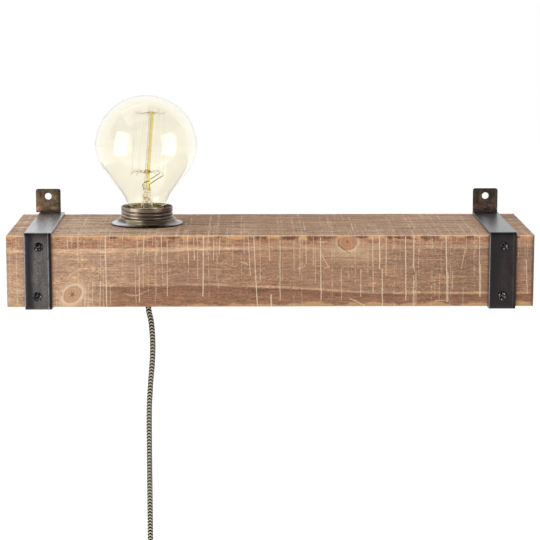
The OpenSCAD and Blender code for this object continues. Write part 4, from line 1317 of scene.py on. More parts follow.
class Shape:
    """A mesh in the making, in millimetres."""

    def __init__(self) -> None:
        """Start an empty mesh."""
        self.bm = bmesh.new()

    def spin(self, profile: Outline, centre: Vector, steps: int = 96, closed: bool = True) -> None:
        """Turn a half outline about an upright axis.

        Args:
            profile: Radius and height of each point of the outline.
            centre: A point on the axis, from which the heights are measured.
            steps: Number of faces round the axis.
            closed: True where the last point joins the first.
        """
        points = [self.bm.verts.new(centre + Vector((r, 0, h))) for r, h in profile]
        pairs = list(zip(points, points[1:]))
        if closed:
            pairs.append((points[-1], points[0]))
        edges = [self.bm.edges.new(pair) for pair in pairs]
        bmesh.ops.spin(
            self.bm, geom=points + edges, cent=centre, axis=(0, 0, 1), dvec=(0, 0, 0),
            angle=2 * math.pi, steps=steps, use_merge=True, use_duplicate=False,
        )
        self.tidy()

    def sweep(self, ring: Outline, frames: Sequence[Matrix]) -> list[list]:
        """Carry a closed outline through a row of places, and close both ends.

        Args:
            ring: The outline, across and up in each place's own axes.
            frames: The places, in order.

        Returns:
            The corners at each place.
        """
        row = [self.bm.verts.new(frames[0] @ Vector((a, b, 0))) for a, b in ring]
        edges = [self.bm.edges.new(pair) for pair in zip(row, row[1:] + row[:1])]
        bmesh.ops.contextual_create(self.bm, geom=edges)
        rows = [row]
        for before, after in zip(frames, frames[1:]):
            made = bmesh.ops.extrude_edge_only(self.bm, edges=edges)["geom"]
            rows.append(corners_of(made))
            edges = edges_between(made, rows[-1])
            bmesh.ops.transform(self.bm, matrix=after @ before.inverted(), verts=rows[-1])
        bmesh.ops.contextual_create(self.bm, geom=edges)
        return rows

    def block(self, size: Sequence[float], centre: Vector, radius: float, segments: int) -> None:
        """Add a box with rounded edges.

        Args:
            size: Its width, depth and height.
            centre: Its middle.
            radius: Radius of its edges.
            segments: Number of faces across an edge.
        """
        matrix = Matrix.Translation(centre) @ Matrix.Diagonal((*size, 1))
        corners = bmesh.ops.create_cube(self.bm, size=1, matrix=matrix)["verts"]
        self.round_off(list({e for v in corners for e in v.link_edges}), radius, segments)

    def round_off(self, edges: Sequence, radius: float, segments: int = 2) -> None:
        """Round some edges.

        Args:
            edges: The edges.
            radius: Radius in millimetres.
            segments: Number of faces across an edge.
        """
        bmesh.ops.bevel(
            self.bm, geom=edges, offset=radius, offset_type="OFFSET", affect="EDGES",
            segments=segments, profile=0.5, material=-1, clamp_overlap=True,
        )

    def rod(self, radius: float, depth: float, matrix: Matrix, sides: int) -> None:
        """Add a cylinder about a place's own Z axis.

        Args:
            radius: Radius in millimetres.
            depth: Its length.
            matrix: Its place.
            sides: Number of faces round it.
        """
        bmesh.ops.create_cone(
            self.bm, cap_ends=True, segments=sides, radius1=radius, radius2=radius, depth=depth,
            matrix=matrix,
        )

    def ball(self, radius: float, matrix: Matrix, sides: int) -> None:
        """Add a ball.

        Args:
            radius: Radius in millimetres.
            matrix: Its place.
            sides: Number of faces round it.
        """
        bmesh.ops.create_uvsphere(
            self.bm, u_segments=sides, v_segments=sides // 2, radius=radius, matrix=matrix
        )

    def tidy(self) -> None:
        """Merge doubles, and turn the faces outwards."""
        bmesh.ops.remove_doubles(self.bm, verts=self.bm.verts, dist=1e-4)
        bmesh.ops.recalc_face_normals(self.bm, faces=self.bm.faces)

    def move(self, place: Callable[[Vector], Vector]) -> None:
        """Put each corner where a rule says."""
        for vertex in self.bm.verts:
            vertex.co = place(vertex.co)

    def to_metres(self) -> None:
        """Scale the mesh from millimetres to metres."""
        bmesh.ops.scale(self.bm, vec=(MM,) * 3, verts=self.bm.verts)

    def put(self, name: str) -> Piece:
        """Put the mesh in the scene as it is.

        Args:
            name: Its name.

        Returns:
            The piece.
        """
        mesh = bpy.data.meshes.new(name)
        self.bm.to_mesh(mesh)
        self.bm.free()
        placed = bpy.data.objects.new(name, mesh)
        bpy.context.scene.collection.objects.link(placed)
        return placed

    def piece(self, name: str, finish: Material, body: Body, sharp: float = 35.0) -> Piece:
        """Turn the mesh into a finished piece in metres.

        Args:
            name: Name of the piece.
            finish: Its material.
            body: The body that it moves with.
            sharp: Angle in degrees above which an edge stays sharp.

        Returns:
            The piece.
        """
        self.to_metres()
        for face in self.bm.faces:
            face.smooth = True
        for edge in self.bm.edges:
            edge.smooth = not (edge.is_manifold and edge.calc_face_angle(0) > math.radians(sharp))
        piece = self.put(name)
        piece.data.materials.append(finish)
        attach(piece, body.value)
        log.info("%s: %d faces", name, len(piece.data.polygons))
        return piece


def frames_along(path: Sequence[Vector], up: Vector) -> list[Matrix]:
    """Places along a path, square to it.

    Args:
        path: Points of the path.
        up: Direction that the first axis of the outlines keeps to.

    Returns:
        A matrix for each point.
    """
    frames = []
    for index, point in enumerate(path):
        ahead = (path[min(index + 1, len(path) - 1)] - path[max(index - 1, 0)]).normalized()
        first = (up - ahead * up.dot(ahead)).normalized()
        second = ahead.cross(first)
        frames.append(Matrix.Translation(point) @ Matrix((first, second, ahead)).transposed().to_4x4())
    return frames


def circle(radius: float, sides: int) -> Outline:
    """A round outline.

    Args:
        radius: Radius in millimetres.
        sides: Number of points round it.

    Returns:
        The outline.
    """
    return [
        (radius * math.cos(2 * math.pi * k / sides), radius * math.sin(2 * math.pi * k / sides))
        for k in range(sides)
    ]


def arc(centre: tuple[float, float], radius: float, start: float, end: float, steps: int) -> Outline:
    """Points on an arc, with the angles in degrees."""
    angles = [math.radians(start + (end - start) * k / steps) for k in range(steps + 1)]
    return [(centre[0] + radius * math.cos(a), centre[1] + radius * math.sin(a)) for a in angles]


def dress(node: str, finish: Material, slot: str) -> Piece:
    """Give a CAD node its finish.

    Args:
        node: Name of the node.
        finish: Its material.
        slot: The record's material slot; not used.

    Returns:
        The node's object.
    """
    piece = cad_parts[node]
    piece.data.materials.clear()
    piece.data.materials.append(finish)
    log.info("%s: packed solid", node)
    return piece


# ---------------------------------------------------------------- studio


@dataclass
class Studio:
    """Camera, soft lamps and white surroundings."""

    camera_at: tuple[float, float, float] = (-16.5, -1566.4, 203.8)
    pitch: float = 9.6036
    yaw: float = 0.6926
    lens: float = 129.44
    floor_z: float = -900.0

    def build(self) -> None:
        """Set the camera, the lamps, the floor and the world."""
        bpy.context.scene.view_settings.view_transform = "Standard"
        self._camera()
        self._lamp("softbox_left", 213.0, 6.5, 1650.0, (1.02, 1.6), 15.5)
        self._lamp("softbox_right", 325.0, 6.5, 1650.0, (1.0, 1.5), 9.0)
        above = self._lamp("softbox_above", 180.0, 72.0, 1900.0, (1.8, 1.4), 12.0)
        above.visible_glossy = False
        self._floor()
        self._world()

    def _camera(self) -> None:
        """Stand the camera where the photograph was taken."""
        data = bpy.data.cameras.new("camera")
        data.lens, data.sensor_width = self.lens, 36.0
        data.clip_start, data.clip_end = 0.05, 50.0
        camera = bpy.data.objects.new("camera", data)
        camera.location = Vector(self.camera_at) * MM
        camera.rotation_euler = (math.radians(90 - self.pitch), 0.0, math.radians(-self.yaw))
        bpy.context.scene.collection.objects.link(camera)
        bpy.context.scene.camera = camera

    def _lamp(
        self, name: str, heading: float, rise: float, away: float, size: tuple[float, float], power: float
    ) -> Piece:
        """Hang a rectangular softbox that faces the lamp.

        Args:
            name: Its name.
            heading: Its direction from the object, in degrees from the X axis.
            rise: Its height above the horizon, in degrees.
            away: Its distance in millimetres.
            size: Its width and height in metres.
            power: Its power in watts.

        Returns:
            The softbox.
        """
        data = bpy.data.lights.new(name, "AREA")
        data.shape, data.size, data.size_y, data.energy = "RECTANGLE", size[0], size[1], power
        softbox = bpy.data.objects.new(name, data)
        h, e = math.radians(heading), math.radians(rise)
        back = Vector((math.cos(h) * math.cos(e), math.sin(h) * math.cos(e), math.sin(e)))
        softbox.location = (Vector((LAMP_X, LAMP_Y, 20)) + back * away) * MM
        softbox.rotation_euler = back.to_track_quat("Z", "Y").to_euler()
        softbox.visible_camera = False
        bpy.context.scene.collection.objects.link(softbox)
        return softbox

    def _floor(self) -> None:
        """Lay a pale floor far below, white to the camera where no shadow falls."""
        shape = Shape()
        bmesh.ops.create_grid(shape.bm, x_segments=1, y_segments=1, size=9000.0)
        bmesh.ops.translate(shape.bm, vec=(0, 0, self.floor_z), verts=shape.bm.verts)
        shape.to_metres()
        floor = shape.put("floor")
        surface = Surface("pale_floor")
        graph = surface.graph
        paths = graph.outputs("ShaderNodeLightPath")
        seen = paths["Is Camera Ray"] | paths["Is Glossy Ray"]
        seen = seen | paths["Is Transmission Ray"]
        surface.set(Base_Color=paint(236, 236, 234), Roughness=0.9)
        glow = graph.outputs("ShaderNodeEmission", {"Color": (1, 1, 1, 1), "Strength": seen * 0.5})[0]
        shade = graph.values(surface.shader)[0]
        surface.show(graph.outputs("ShaderNodeAddShader", {0: shade, 1: glow})[0])
        floor.data.materials.append(surface.material)

    def _world(self) -> None:
        """Surround the lamp with white that lights it softly, darker above and behind the camera."""
        world = bpy.data.worlds.new("white_room")
        bpy.context.scene.world = world
        world.use_nodes = True
        graph = NodeGraph(world.node_tree)
        paths = graph.outputs("ShaderNodeLightPath")
        _, depth, rise = graph.split(graph.outputs("ShaderNodeTexCoord")["Generated"])
        behind = graph.remap(graph.linear(rise, -0.6, depth), -0.5, 0.25, 0.3, 1.0)
        seen = paths["Is Camera Ray"] | paths["Is Transmission Ray"]
        strength = graph.linear(paths["Is Glossy Ray"], behind - 0.62, 0.62)
        strength = strength | seen
        sky = graph.outputs("ShaderNodeBackground", {"Color": (1, 1, 1, 1), "Strength": strength})[0]
        graph.add("ShaderNodeOutputWorld", {"Surface": sky})


# ---------------------------------------------------------------- cord


@dataclass
class BraidedCord:
    """The textile cord, from the bush under the beam down to the plug."""

    exit: tuple[float, float, float] = (LAMP_X, LAMP_Y, -69.7)
    diameter: float = 4.5
    turns: int = 9
    pitch: float = 5.05
    coil_radius: float = 25.0
    entry: float = 30.0
    switch_length: float = 56.0
    tail: float = 20.0
    drop: tuple[tuple[float, float, float], ...] = (
        (0, 0, 0), (0, 0, -5), (0.5, 0, -14), (2.4, 0, -24), (3.2, 0, -33), (3.5, 0, -42),
        (3.3, 0, -51), (2.8, 0, -59), (2.1, 0, -67), (1.4, 0, -75), (0.8, 0, -84), (0.3, 0, -93),
        (0.1, 0, -102), (0, 0, -114), (0, 0, -128), (0, 0, -142), (0, 0, -156), (0, 0, -170),
        (0, 0, -184), (0, 0, -198), (0, 0, -211),
    )
    lead: tuple[tuple[float, float, float], ...] = (
        (0, 0, 0), (0, 0, -5), (0.2, -0.4, -10), (1.6, -2, -17), (4.2, -4.4, -24),
        (7.6, -6.8, -31), (10.2, -7.6, -35.5), (12.4, -7.6, -39.3),
    )

    def switch_top(self) -> Vector:
        """Where the cord enters the switch."""
        return Vector(self.exit) + Vector(self.drop[-1])

    def switch_end(self) -> Vector:
        """Where the cord leaves the switch."""
        return self.switch_top() - Vector((0, 0, self.switch_length))

    def drop_path(self) -> list[Vector]:
        """Points from the bush to the switch."""
        return [Vector(self.exit) + Vector(p) for p in self.drop]

    def lead_path(self) -> list[Vector]:
        """Points from the switch to the coil."""
        return [self.switch_end() + Vector(p) for p in self.lead]

    def coil_path(self) -> list[Vector]:
        """Points of the coil: flat spirals in, out, in and out, a layer behind each other.

        Returns:
            The points.
        """
        sweep = 360.0 * self.turns + self.entry
        layer = sweep / 360 / 4
        outer = self.coil_radius + self.pitch * layer / 2
        entry = math.radians(self.entry)
        start = self.lead_path()[-1] + self.diameter * Vector((math.sin(entry), 0, -math.cos(entry)))
        centre = start - outer * Vector((math.cos(entry), 0, math.sin(entry)))
        path = []
        steps = int(sweep / 7.5)
        for step in range(steps + 1):
            angle = sweep * step / steps
            turn = angle / 360
            back = turn % (2 * layer)
            radius = outer - self.pitch * min(back, 2 * layer - back)
            depth = sum(smooth(turn - k * layer, -0.25, 0.25) for k in (1, 2, 3))
            way = entry - math.radians(angle)
            path.append(centre + Vector((radius * math.cos(way), self.pitch * depth, radius * math.sin(way))))
        path.append(centre + Vector((outer, 3 * self.pitch, -self.diameter)))
        return path

    def tail_path(self) -> list[Vector]:
        """Points from the coil to the plug's strain relief."""
        start = self.coil_path()[-1]
        return [start - Vector((0, 0, self.tail * k / 4)) for k in range(1, 5)]

    @staticmethod
    def rounded(path: Sequence[Vector], step: float) -> list[Vector]:
        """Points on one smooth curve through a path.

        Args:
            path: Points that the curve passes.
            step: Largest distance between its own points.

        Returns:
            The points of the curve.
        """
        ends = [2 * path[0] - path[1], *path, 2 * path[-1] - path[-2]]
        curve = []
        for a, b, c, d in zip(ends, ends[1:], ends[2:], ends[3:]):
            count = max(1, math.ceil((c - b).length / step))
            for k in range(count):
                t = k / count
                curve.append(
                    0.5 * (2 * b + (c - a) * t + (2 * a - 5 * b + 4 * c - d) * t ** 2
                           + (3 * b - a - 3 * c + d) * t ** 3)
                )
        return [*curve, path[-1]]

    def tube(self, name: str, path: Sequence[Vector], finish: Material, sides: int, step: float) -> Piece:
        """Make a stretch of braid with its threads standing out.

        Args:
            name: Name of the piece.
            path: Points of its middle.
            finish: Its material.
            sides: Number of faces round it.
            step: Length of its faces.

        Returns:
            The piece.
        """
        braid = BraidFinish()
        curve = self.rounded(path, step)
        rows, lengths, length = frames_along(curve, Vector((0, 1, 0))), [], 0.0
        for before, after in zip([curve[0], *curve], curve):
            length += (after - before).length
            lengths.append(length)
        points = []
        for matrix, at in zip(rows, lengths):
            for k in range(sides):
                lane = at / braid.repeat + 2 * braid.rise * abs((braid.peaks * k / sides + 0.5) % 1 - 0.5)
                thread = abs((lane * 6 + 1) % 2 - 1) if sides > 24 else 0.6
                radius = self.diameter / 2 - 0.10 * (1 - math.sqrt(thread))
                angle = 2 * math.pi * k / sides
                points.append(matrix @ Vector((radius * math.cos(angle), radius * math.sin(angle), 0)) * MM)
        faces = [
            (i * sides + k, i * sides + n, (i + 1) * sides + n, (i + 1) * sides + k)
            for i in range(len(rows) - 1) for k, n in ((k, (k + 1) % sides) for k in range(sides))
        ]
        caps = [tuple(range(sides))[::-1], tuple((len(rows) - 1) * sides + k for k in range(sides))]
        mesh = bpy.data.meshes.new(name)
        mesh.from_pydata(points, [], faces + caps)
        layer = mesh.uv_layers.new(name="braid")
        for face in mesh.polygons:
            face.use_smooth = True
            for loop in face.loop_indices:
                i, k = divmod(mesh.loops[loop].vertex_index, sides)
                wrap = face.index < len(faces) and k == 0 and face.index % sides == sides - 1
                layer.data[loop].uv = (lengths[i] * MM, 1.0 if wrap else k / sides)
        mesh.materials.append(finish)
        piece = bpy.data.objects.new(name, mesh)
        bpy.context.scene.collection.objects.link(piece)
        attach(piece, Body.LAMP.value)
        log.info("%s: %d faces, %.0f mm", name, len(mesh.polygons), lengths[-1])
        return piece

    def build(self, effects: Effects) -> tuple[Piece, Piece]:
        """Make both stretches of the cord, above and below the switch.

        Args:
            effects: The shared effects.

        Returns:
            The upper and the lower stretch.
        """
        finish = BraidFinish().build()
        upper = self.tube("cord_to_switch", self.drop_path(), finish, 30, 0.45)
        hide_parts("cord_drop")
        low_path = [*self.lead_path(), *self.coil_path(), *self.tail_path()]
        lower = self.tube("cord_to_plug", low_path, finish, 18, 0.9)
        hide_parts("cord_lead", "cord_coil", "cord_tail")
        for node in ("cord_inside", "switch_cord_ends"):
            sheath = MouldedFinish("sheath_braid", paint(120, 106, 90), paint(60, 48, 38), 0.85)
            dress(node, sheath.build(effects), "braid")
        return upper, lower

    def declare(self, upper: Piece, lower: Piece) -> None:
        """Work out the points of both stretches in metres, and keep nothing.

        Args:
            upper: The stretch above the switch; not used.
            lower: The stretch below the switch; not used.
        """
        down = self.drop_path()
        rest = [*self.lead_path(), *self.coil_path(), *self.tail_path()]
        tuple(rest[0] * MM)
        [p * MM for p in rest]

    @staticmethod
    def _length(path: Sequence[Vector]) -> float:
        """Length of a path in metres."""
        return sum((b - a).length for a, b in zip(path, path[1:])) * MM


# ---------------------------------------------------------------- beam


@dataclass
class SawnBeam:
    """The rough-sawn beam with worn edges, chips, knots and the holes of its fittings."""

    low: tuple[float, float, float] = (-198.5, BEAM_FRONT, BEAM_BOTTOM)
    high: tuple[float, float, float] = (201.5, 0.0, BEAM_TOP)
    step: float = 1.7
    edge_step: float = 0.45
    edge_zone: float = 3.2
    look: PineFinish = field(default_factory=PineFinish)

    def _lines(self, axis: int) -> list[float]:
        """Places of the mesh lines along an axis, closer near both ends.

        Args:
            axis: Number of the axis.

        Returns:
            The places.
        """
        low, high = self.low[axis], self.high[axis]
        count = round(self.edge_zone / self.edge_step)
        edge = [k * self.edge_step for k in range(count)]
        inner = round((high - low - 2 * self.edge_zone) / self.step)
        middle = [self.edge_zone + k * (high - low - 2 * self.edge_zone) / inner for k in range(inner + 1)]
        return [low + e for e in edge + middle] + [high - e for e in reversed(edge)]

    def _faces(self, shape: Shape) -> None:
        """Cover the six sides with grids that share their borders.

        Args:
            shape: The mesh.
        """
        lines = [self._lines(axis) for axis in range(3)]
        for fixed in range(3):
            a, b = [axis for axis in range(3) if axis != fixed]
            for value in (self.low[fixed], self.high[fixed]):
                made = bmesh.ops.create_grid(
                    shape.bm, x_segments=len(lines[a]) - 1, y_segments=len(lines[b]) - 1, size=1.0
                )["verts"]
                for vertex in made:
                    i = round((vertex.co.x + 1) / 2 * (len(lines[a]) - 1))
                    j = round((vertex.co.y + 1) / 2 * (len(lines[b]) - 1))
                    place = [0.0, 0.0, 0.0]
                    place[a], place[b], place[fixed] = lines[a][i], lines[b][j], value
                    vertex.co = Vector(place)

    def _edge_radius(self, point: Vector) -> float:
        """Radius of the worn edge near a point.

        Args:
            point: The point.

        Returns:
            The radius.
        """
        wear = 0.5 + 0.6 * max(0.0, noise.noise(Vector((point.x * 0.05, point.y * 0.05 + 4, point.z * 0.06))))
        wear += 0.25 * noise.noise(point * 0.35)
        if point.y < self.low[1] + 6 and point.z > self.high[2] - 6:
            for middle, half, depth in self.look.chips:
                hollow = max(0.0, 1 - ((point.x - middle) / half) ** 2)
                wear += 0.8 * depth * hollow * (0.65 + 0.6 * noise.noise(Vector((point.x * 0.9, 1, 7))))
        return min(3.0, max(0.3, wear))

    def _place(self, point: Vector) -> Vector:
        """Round the edges and press the relief of sawn wood into the sides.

        Args:
            point: The point.

        Returns:
            The point's new place.
        """
        radius = self._edge_radius(point)
        core = Vector(
            min(max(point[axis], self.low[axis] + radius), self.high[axis] - radius) for axis in range(3)
        )
        out = point - core
        if out.length < 1e-6:
            return point
        normal = out.normalized()
        grain = noise.fractal(Vector((point.x * 0.018, point.y * 0.42, point.z * 0.42)), 0.6, 2.0, 3)
        saw = noise.noise(Vector((point.x * 0.55, 2.0, (point.y + point.z) * 0.012)))
        wave = noise.noise(point * 0.022)
        depth = 0.05 * (1 + grain) + 0.04 * (1 + saw) + 0.04 * (1 + wave)
        for knot in self.look.knots:
            if point.y < self.low[1] + 1:
                away = math.hypot(point.x - knot.x, point.z - knot.z)
                rim, heart = (away - knot.tall) / 0.8, away / 1.2
                depth += 0.3 * math.exp(-(rim ** 2)) + 0.35 * math.exp(-(heart ** 2))
        if point.y > self.high[1] - 1:
            depth = 0.0
        return core + normal * (radius - depth)

    def build(self, finish: Material) -> Piece:
        """Make the beam, carve its holes and dress it.

        Args:
            finish: The material.

        Returns:
            The piece.
        """
        shape = Shape()
        self._faces(shape)
        shape.tidy()
        shape.move(self._place)
        holes = [
            (21.0, (LAMP_X, LAMP_Y, BEAM_TOP - 40.3), (LAMP_X, LAMP_Y, BEAM_TOP + 2)),
            (5.3, (LAMP_X, LAMP_Y, self.low[2] - 2), (LAMP_X, LAMP_Y, BEAM_TOP - 38)),
            (10.5, (LAMP_X, LAMP_Y, self.low[2] - 2), (LAMP_X, LAMP_Y, self.low[2] + 6)),
        ]
        for x, z in StrapScrews().places:
            holes.append((2.1, (x, self.low[1] - 1, z), (x, self.low[1] + 24, z)))
        piece = shape.piece("sawn_beam", finish, Body.LAMP, 60.0)
        carve(piece, holes)
        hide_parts("beam")
        return piece


def carve(piece: Piece, holes: Sequence[tuple]) -> None:
    """Cut round holes out of a piece.

    Args:
        piece: The piece.
        holes: Radius and both ends of each hole, in millimetres.
    """
    shape = Shape()
    for radius, start, end in holes:
        a, b = Vector(start), Vector(end)
        matrix = Matrix.Translation((a + b) / 2) @ (b - a).to_track_quat("Z", "Y").to_matrix().to_4x4()
        shape.rod(radius, (b - a).length, matrix, 64)
    bmesh.ops.recalc_face_normals(shape.bm, faces=shape.bm.faces)
    cut_out(piece, shape)


def cut_out(piece: Piece, shape: Shape) -> None:
    """Subtract a shape in millimetres from a piece, and keep the result in its mesh.

    Args:
        piece: The piece that is cut.
        shape: The shape to subtract.
    """
    shape.to_metres()
    cutter = shape.put("cutter")
    modifier = piece.modifiers.new("cut", "BOOLEAN")
    modifier.object, modifier.operation, modifier.solver = cutter, "DIFFERENCE", "EXACT"
    modifier.use_self = True
    bpy.context.view_layer.update()
    evaluated = piece.evaluated_get(bpy.context.evaluated_depsgraph_get())
    result = bpy.data.meshes.new_from_object(evaluated)
    piece.modifiers.clear()
    spent = (piece.data, cutter.data)
    piece.data = result
    bpy.data.objects.remove(cutter)
    for mesh in spent:
        bpy.data.meshes.remove(mesh)


# ---------------------------------------------------------------- brackets


@dataclass
class BentStrap:
    """One flat steel bar bent round the beam, with bevelled front edges and swollen bends."""

    name: str
    node: str
    middle: float
    width: float = 20.0
    thick: float = 2.0
    bevel: float = 2.0
    front: float = -115.5
    bottom: float = -69.5
    end: float = -20.0
    bend: float = 1.5

    def _track(self) -> tuple[list[Matrix], list[float], list[float]]:
        """Places along the bar, their lengths, and how close each is to a bend.

        Returns:
            The places, their lengths and how close each is to a bend.
        """
        frames, lengths, swell = [], [], []
        length = 0.0

        def add(y: float, z: float, angle: float, step: float, near: float) -> None:
            """Put one place, whose outer side faces the angle in the YZ plane.

            Args:
                y: Its Y.
                z: Its height.
                angle: The angle, in degrees.
                step: Length of the bar since the last place.
                near: How close it is to a bend.
            """
            nonlocal length
            length += step
            a = math.radians(angle)
            out = Vector((0, math.cos(a), math.sin(a)))
            ahead = Vector((1, 0, 0)).cross(out)
            matrix = Matrix((Vector((1, 0, 0)), out, ahead)).transposed().to_4x4()
            frames.append(Matrix.Translation((self.middle, y, z)) @ matrix)
            lengths.append(length)
            swell.append(near)

        def turn(start: float, height: float) -> None:
            """Bend the bar by a quarter turn about a height.

            Args:
                start: Where it starts.
                height: Height of the bend's centre.
            """
            for k in range(1, 9):
                a = math.radians(start + 90 * k / 8)
                y, z = self.front + self.bend * math.cos(a), height + self.bend * math.sin(a)
                add(y, z, start + 90 * k / 8, 0.3, 1)

        top, upper = BEAM_TOP + self.thick / 2, BEAM_TOP - 0.5
        for k in range(31):
            add(self.front * k / 30, top, 90, 0 if k == 0 else -self.front / 30, smooth(k, 28.5, 30))
        turn(90, upper)
        tall = upper - self.bottom
        for k in range(1, 29):
            near = max(smooth(k, 1.5, 0), smooth(k, 26.5, 28))
            add(self.front - self.bend, upper - tall * k / 28, 180, tall / 28, near)
        turn(180, self.bottom)
        run = self.end - self.front
        for k in range(1, 25):
            add(self.front + run * k / 24, self.bottom - self.bend, 270, run / 24, smooth(k, 1.5, 0))
        return frames, lengths, swell

    def build(self, finish: Material) -> Piece:
        """Make the bar and dress it.

        Args:
            finish: The material.

        Returns:
            The piece.
        """
        half, t = self.width / 2, self.thick / 2
        right = [(half - 0.25, -t), (half, -t + 0.25), (half, t - 0.62), (half - 0.2, t - 0.45)]
        right += [(half - self.bevel, t), (half - 4, t)]
        left = [(-across, up) for across, up in reversed(right)]
        ring = [left[-1], *right, *left[:-1]]
        frames, lengths, swell = self._track()
        front_start, front_end = lengths[34], lengths[66]

        def form(row: int, a: float, b: float) -> tuple[float, float]:
            """Fill the bevel on the level runs, and push the edges out at the bends.

            Args:
                row: Number of the row.
                a: Place across the bar.
                b: Place through its thickness.

            Returns:
                The point.
            """
            length = lengths[row]
            bevel = smooth(length, front_start - 1.5, front_start + 2.5)
            bevel *= smooth(length, front_end + 1.5, front_end - 2.5)
            if b > 0 and abs(a) > half - 0.3:
                b += (1 - bevel) * (0.38 if b < 0.5 else 0.35)
            wave = 0.05 * noise.noise(Vector((length * 0.09, self.middle, 0)))
            if abs(a) > half - 0.3:
                a += math.copysign(0.35 * swell[row] - 0.22, a) + wave
            if swell[row] > 0.5 and b > 0:
                b -= 0.16 * (1 - (a / half) ** 2) * swell[row]
            b -= 0.05 * (1 + noise.noise(Vector((a * 0.2, length * 0.08, self.middle)))) if b > 0 else 0.0
            return a, b

        shape = Shape()
        sweep_bar(shape, ring, frames, lengths, form)
        shape.tidy()
        piece = shape.piece(self.name, finish, Body.LAMP, 30.0)
        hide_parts(self.node)
        return piece


def sweep_bar(
    shape: Shape, ring: Outline, frames: Sequence[Matrix], lengths: Sequence[float],
    form: Callable[[int, float, float], tuple[float, float]],
) -> None:
    """Carry an outline along places, with a UV map "bar" of place across and along.

    Args:
        shape: The mesh that it joins.
        ring: The outline.
        frames: The places.
        lengths: Length of the bar at each place.
        form: Gives each corner of a row its own place in the outline.
    """
    rows = shape.sweep(ring, frames)
    known = {}
    for index, (row, matrix) in enumerate(zip(rows, frames)):
        back = matrix.inverted()
        for vertex in row:
            local = back @ vertex.co
            a, b = form(index, local.x, local.y)
            vertex.co = matrix @ Vector((a, b, 0))
            known[vertex] = (local.x * MM, lengths[index] * MM)
    layer = shape.bm.loops.layers.uv.new("bar")
    for face in shape.bm.faces:
        for loop in face.loops:
            loop[layer].uv = known[loop.vert]


@dataclass
class WallTab:
    """A small plate with the wall hole, welded on a strap."""

    name: str
    node: str
    middle: float
    half: float = 10.0
    foot: float = -13.0
    top: float = 6.0
    thick: float = 2.0
    corner: float = 1.6
    hole: float = 2.75
    lean: float = 0.0
    sides: int = 72

    def _edge(self, angle: float) -> tuple[float, float]:
        """Point of the outline seen from the hole at an angle.

        Args:
            angle: The angle, in radians.

        Returns:
            The point.
        """
        c, s = math.cos(angle), math.sin(angle)
        reach = min(
            (self.half / abs(c)) if abs(c) > 1e-9 else 1e9,
            (self.top / s) if s > 1e-9 else 1e9,
            (self.foot / s) if s < -1e-9 else 1e9,
        )
        x, z = reach * c, reach * s
        inner_x, inner_z = self.half - self.corner, self.top - self.corner
        if abs(x) > inner_x and z > inner_z:
            away = Vector((abs(x) - inner_x, z - inner_z)).normalized() * self.corner
            x, z = math.copysign(inner_x + away.x, x), inner_z + away.y
        return x, z

    def build(self, finish: Material) -> Piece:
        """Make the plate and dress it.

        Args:
            finish: The material.

        Returns:
            The piece.
        """
        shape = Shape()
        bm = shape.bm
        corners = [math.atan2(self.foot, side * self.half) for side in (-1, 1)]
        angles = [2 * math.pi * k / self.sides for k in range(self.sides)]
        angles = sorted(angles + [a % (2 * math.pi) for a in corners])
        loops = []
        for ring in (True, False):
            verts = []
            for a in angles:
                x, z = self._edge(a) if ring else (self.hole * math.cos(a), self.hole * math.sin(a))
                verts.append(bm.verts.new((self.middle + x + self.lean * z, 0.0, z)))
            loops += [bm.edges.new(pair) for pair in zip(verts, verts[1:] + verts[:1])]
        faces = bmesh.ops.bridge_loops(bm, edges=loops)["faces"]
        made = bmesh.ops.extrude_face_region(bm, geom=faces)["geom"]
        bmesh.ops.translate(bm, vec=(0, -self.thick, 0), verts=corners_of(made))
        shape.tidy()
        rims = [e for e in bm.edges if e.is_manifold and e.calc_face_angle(0) > math.radians(60)]
        shape.round_off(rims, 0.22)
        piece = shape.piece(self.name, finish, Body.LAMP, 40.0)
        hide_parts(self.node)
        return piece


@dataclass
class WeldBeads:
    """The fillet welds at the feet of the tabs, with their spatter."""

    middles: tuple[float, float] = (-176.0, 177.5)
    length: float = 15.0
    foot: float = -13.0
    face: float = -2.0

    def build(self, finish: Material) -> Piece:
        """Make both beads and dress them.

        Args:
            finish: The material.

        Returns:
            The piece.
        """
        shape = Shape()
        for middle in self.middles:
            count = 15
            for k in range(count):
                share = (k + 0.5) / count
                x = middle + (share - 0.5) * self.length
                sway = noise.noise(Vector((x * 0.7, 3, 1)))
                radius = 0.95 + 0.22 * sway
                place = Matrix.Translation((x, self.face - 0.35, self.foot + 0.35 + 0.12 * sway))
                tilt = Matrix.Rotation(math.radians(24), 4, "Y") @ Matrix.Diagonal((0.8, 1.15, 1.15, 1))
                shape.ball(radius, place @ tilt, 14)
            for k in range(7):
                x = middle + (k / 6 - 0.5) * self.length * 0.9
                reach = 1.6 + 1.5 * abs(noise.noise(Vector((x, 9, 2))))
                spot = (x + 0.3 * math.sin(9.0 * k), self.face - reach, self.foot + 0.08)
                shape.ball(0.28 + 0.1 * (k % 3), Matrix.Translation(spot), 8)
        shape.bm.normal_update()
        piece = shape.piece("weld_bead_ripples", finish, Body.LAMP, 50.0)
        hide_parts("weld_beads")
        return piece


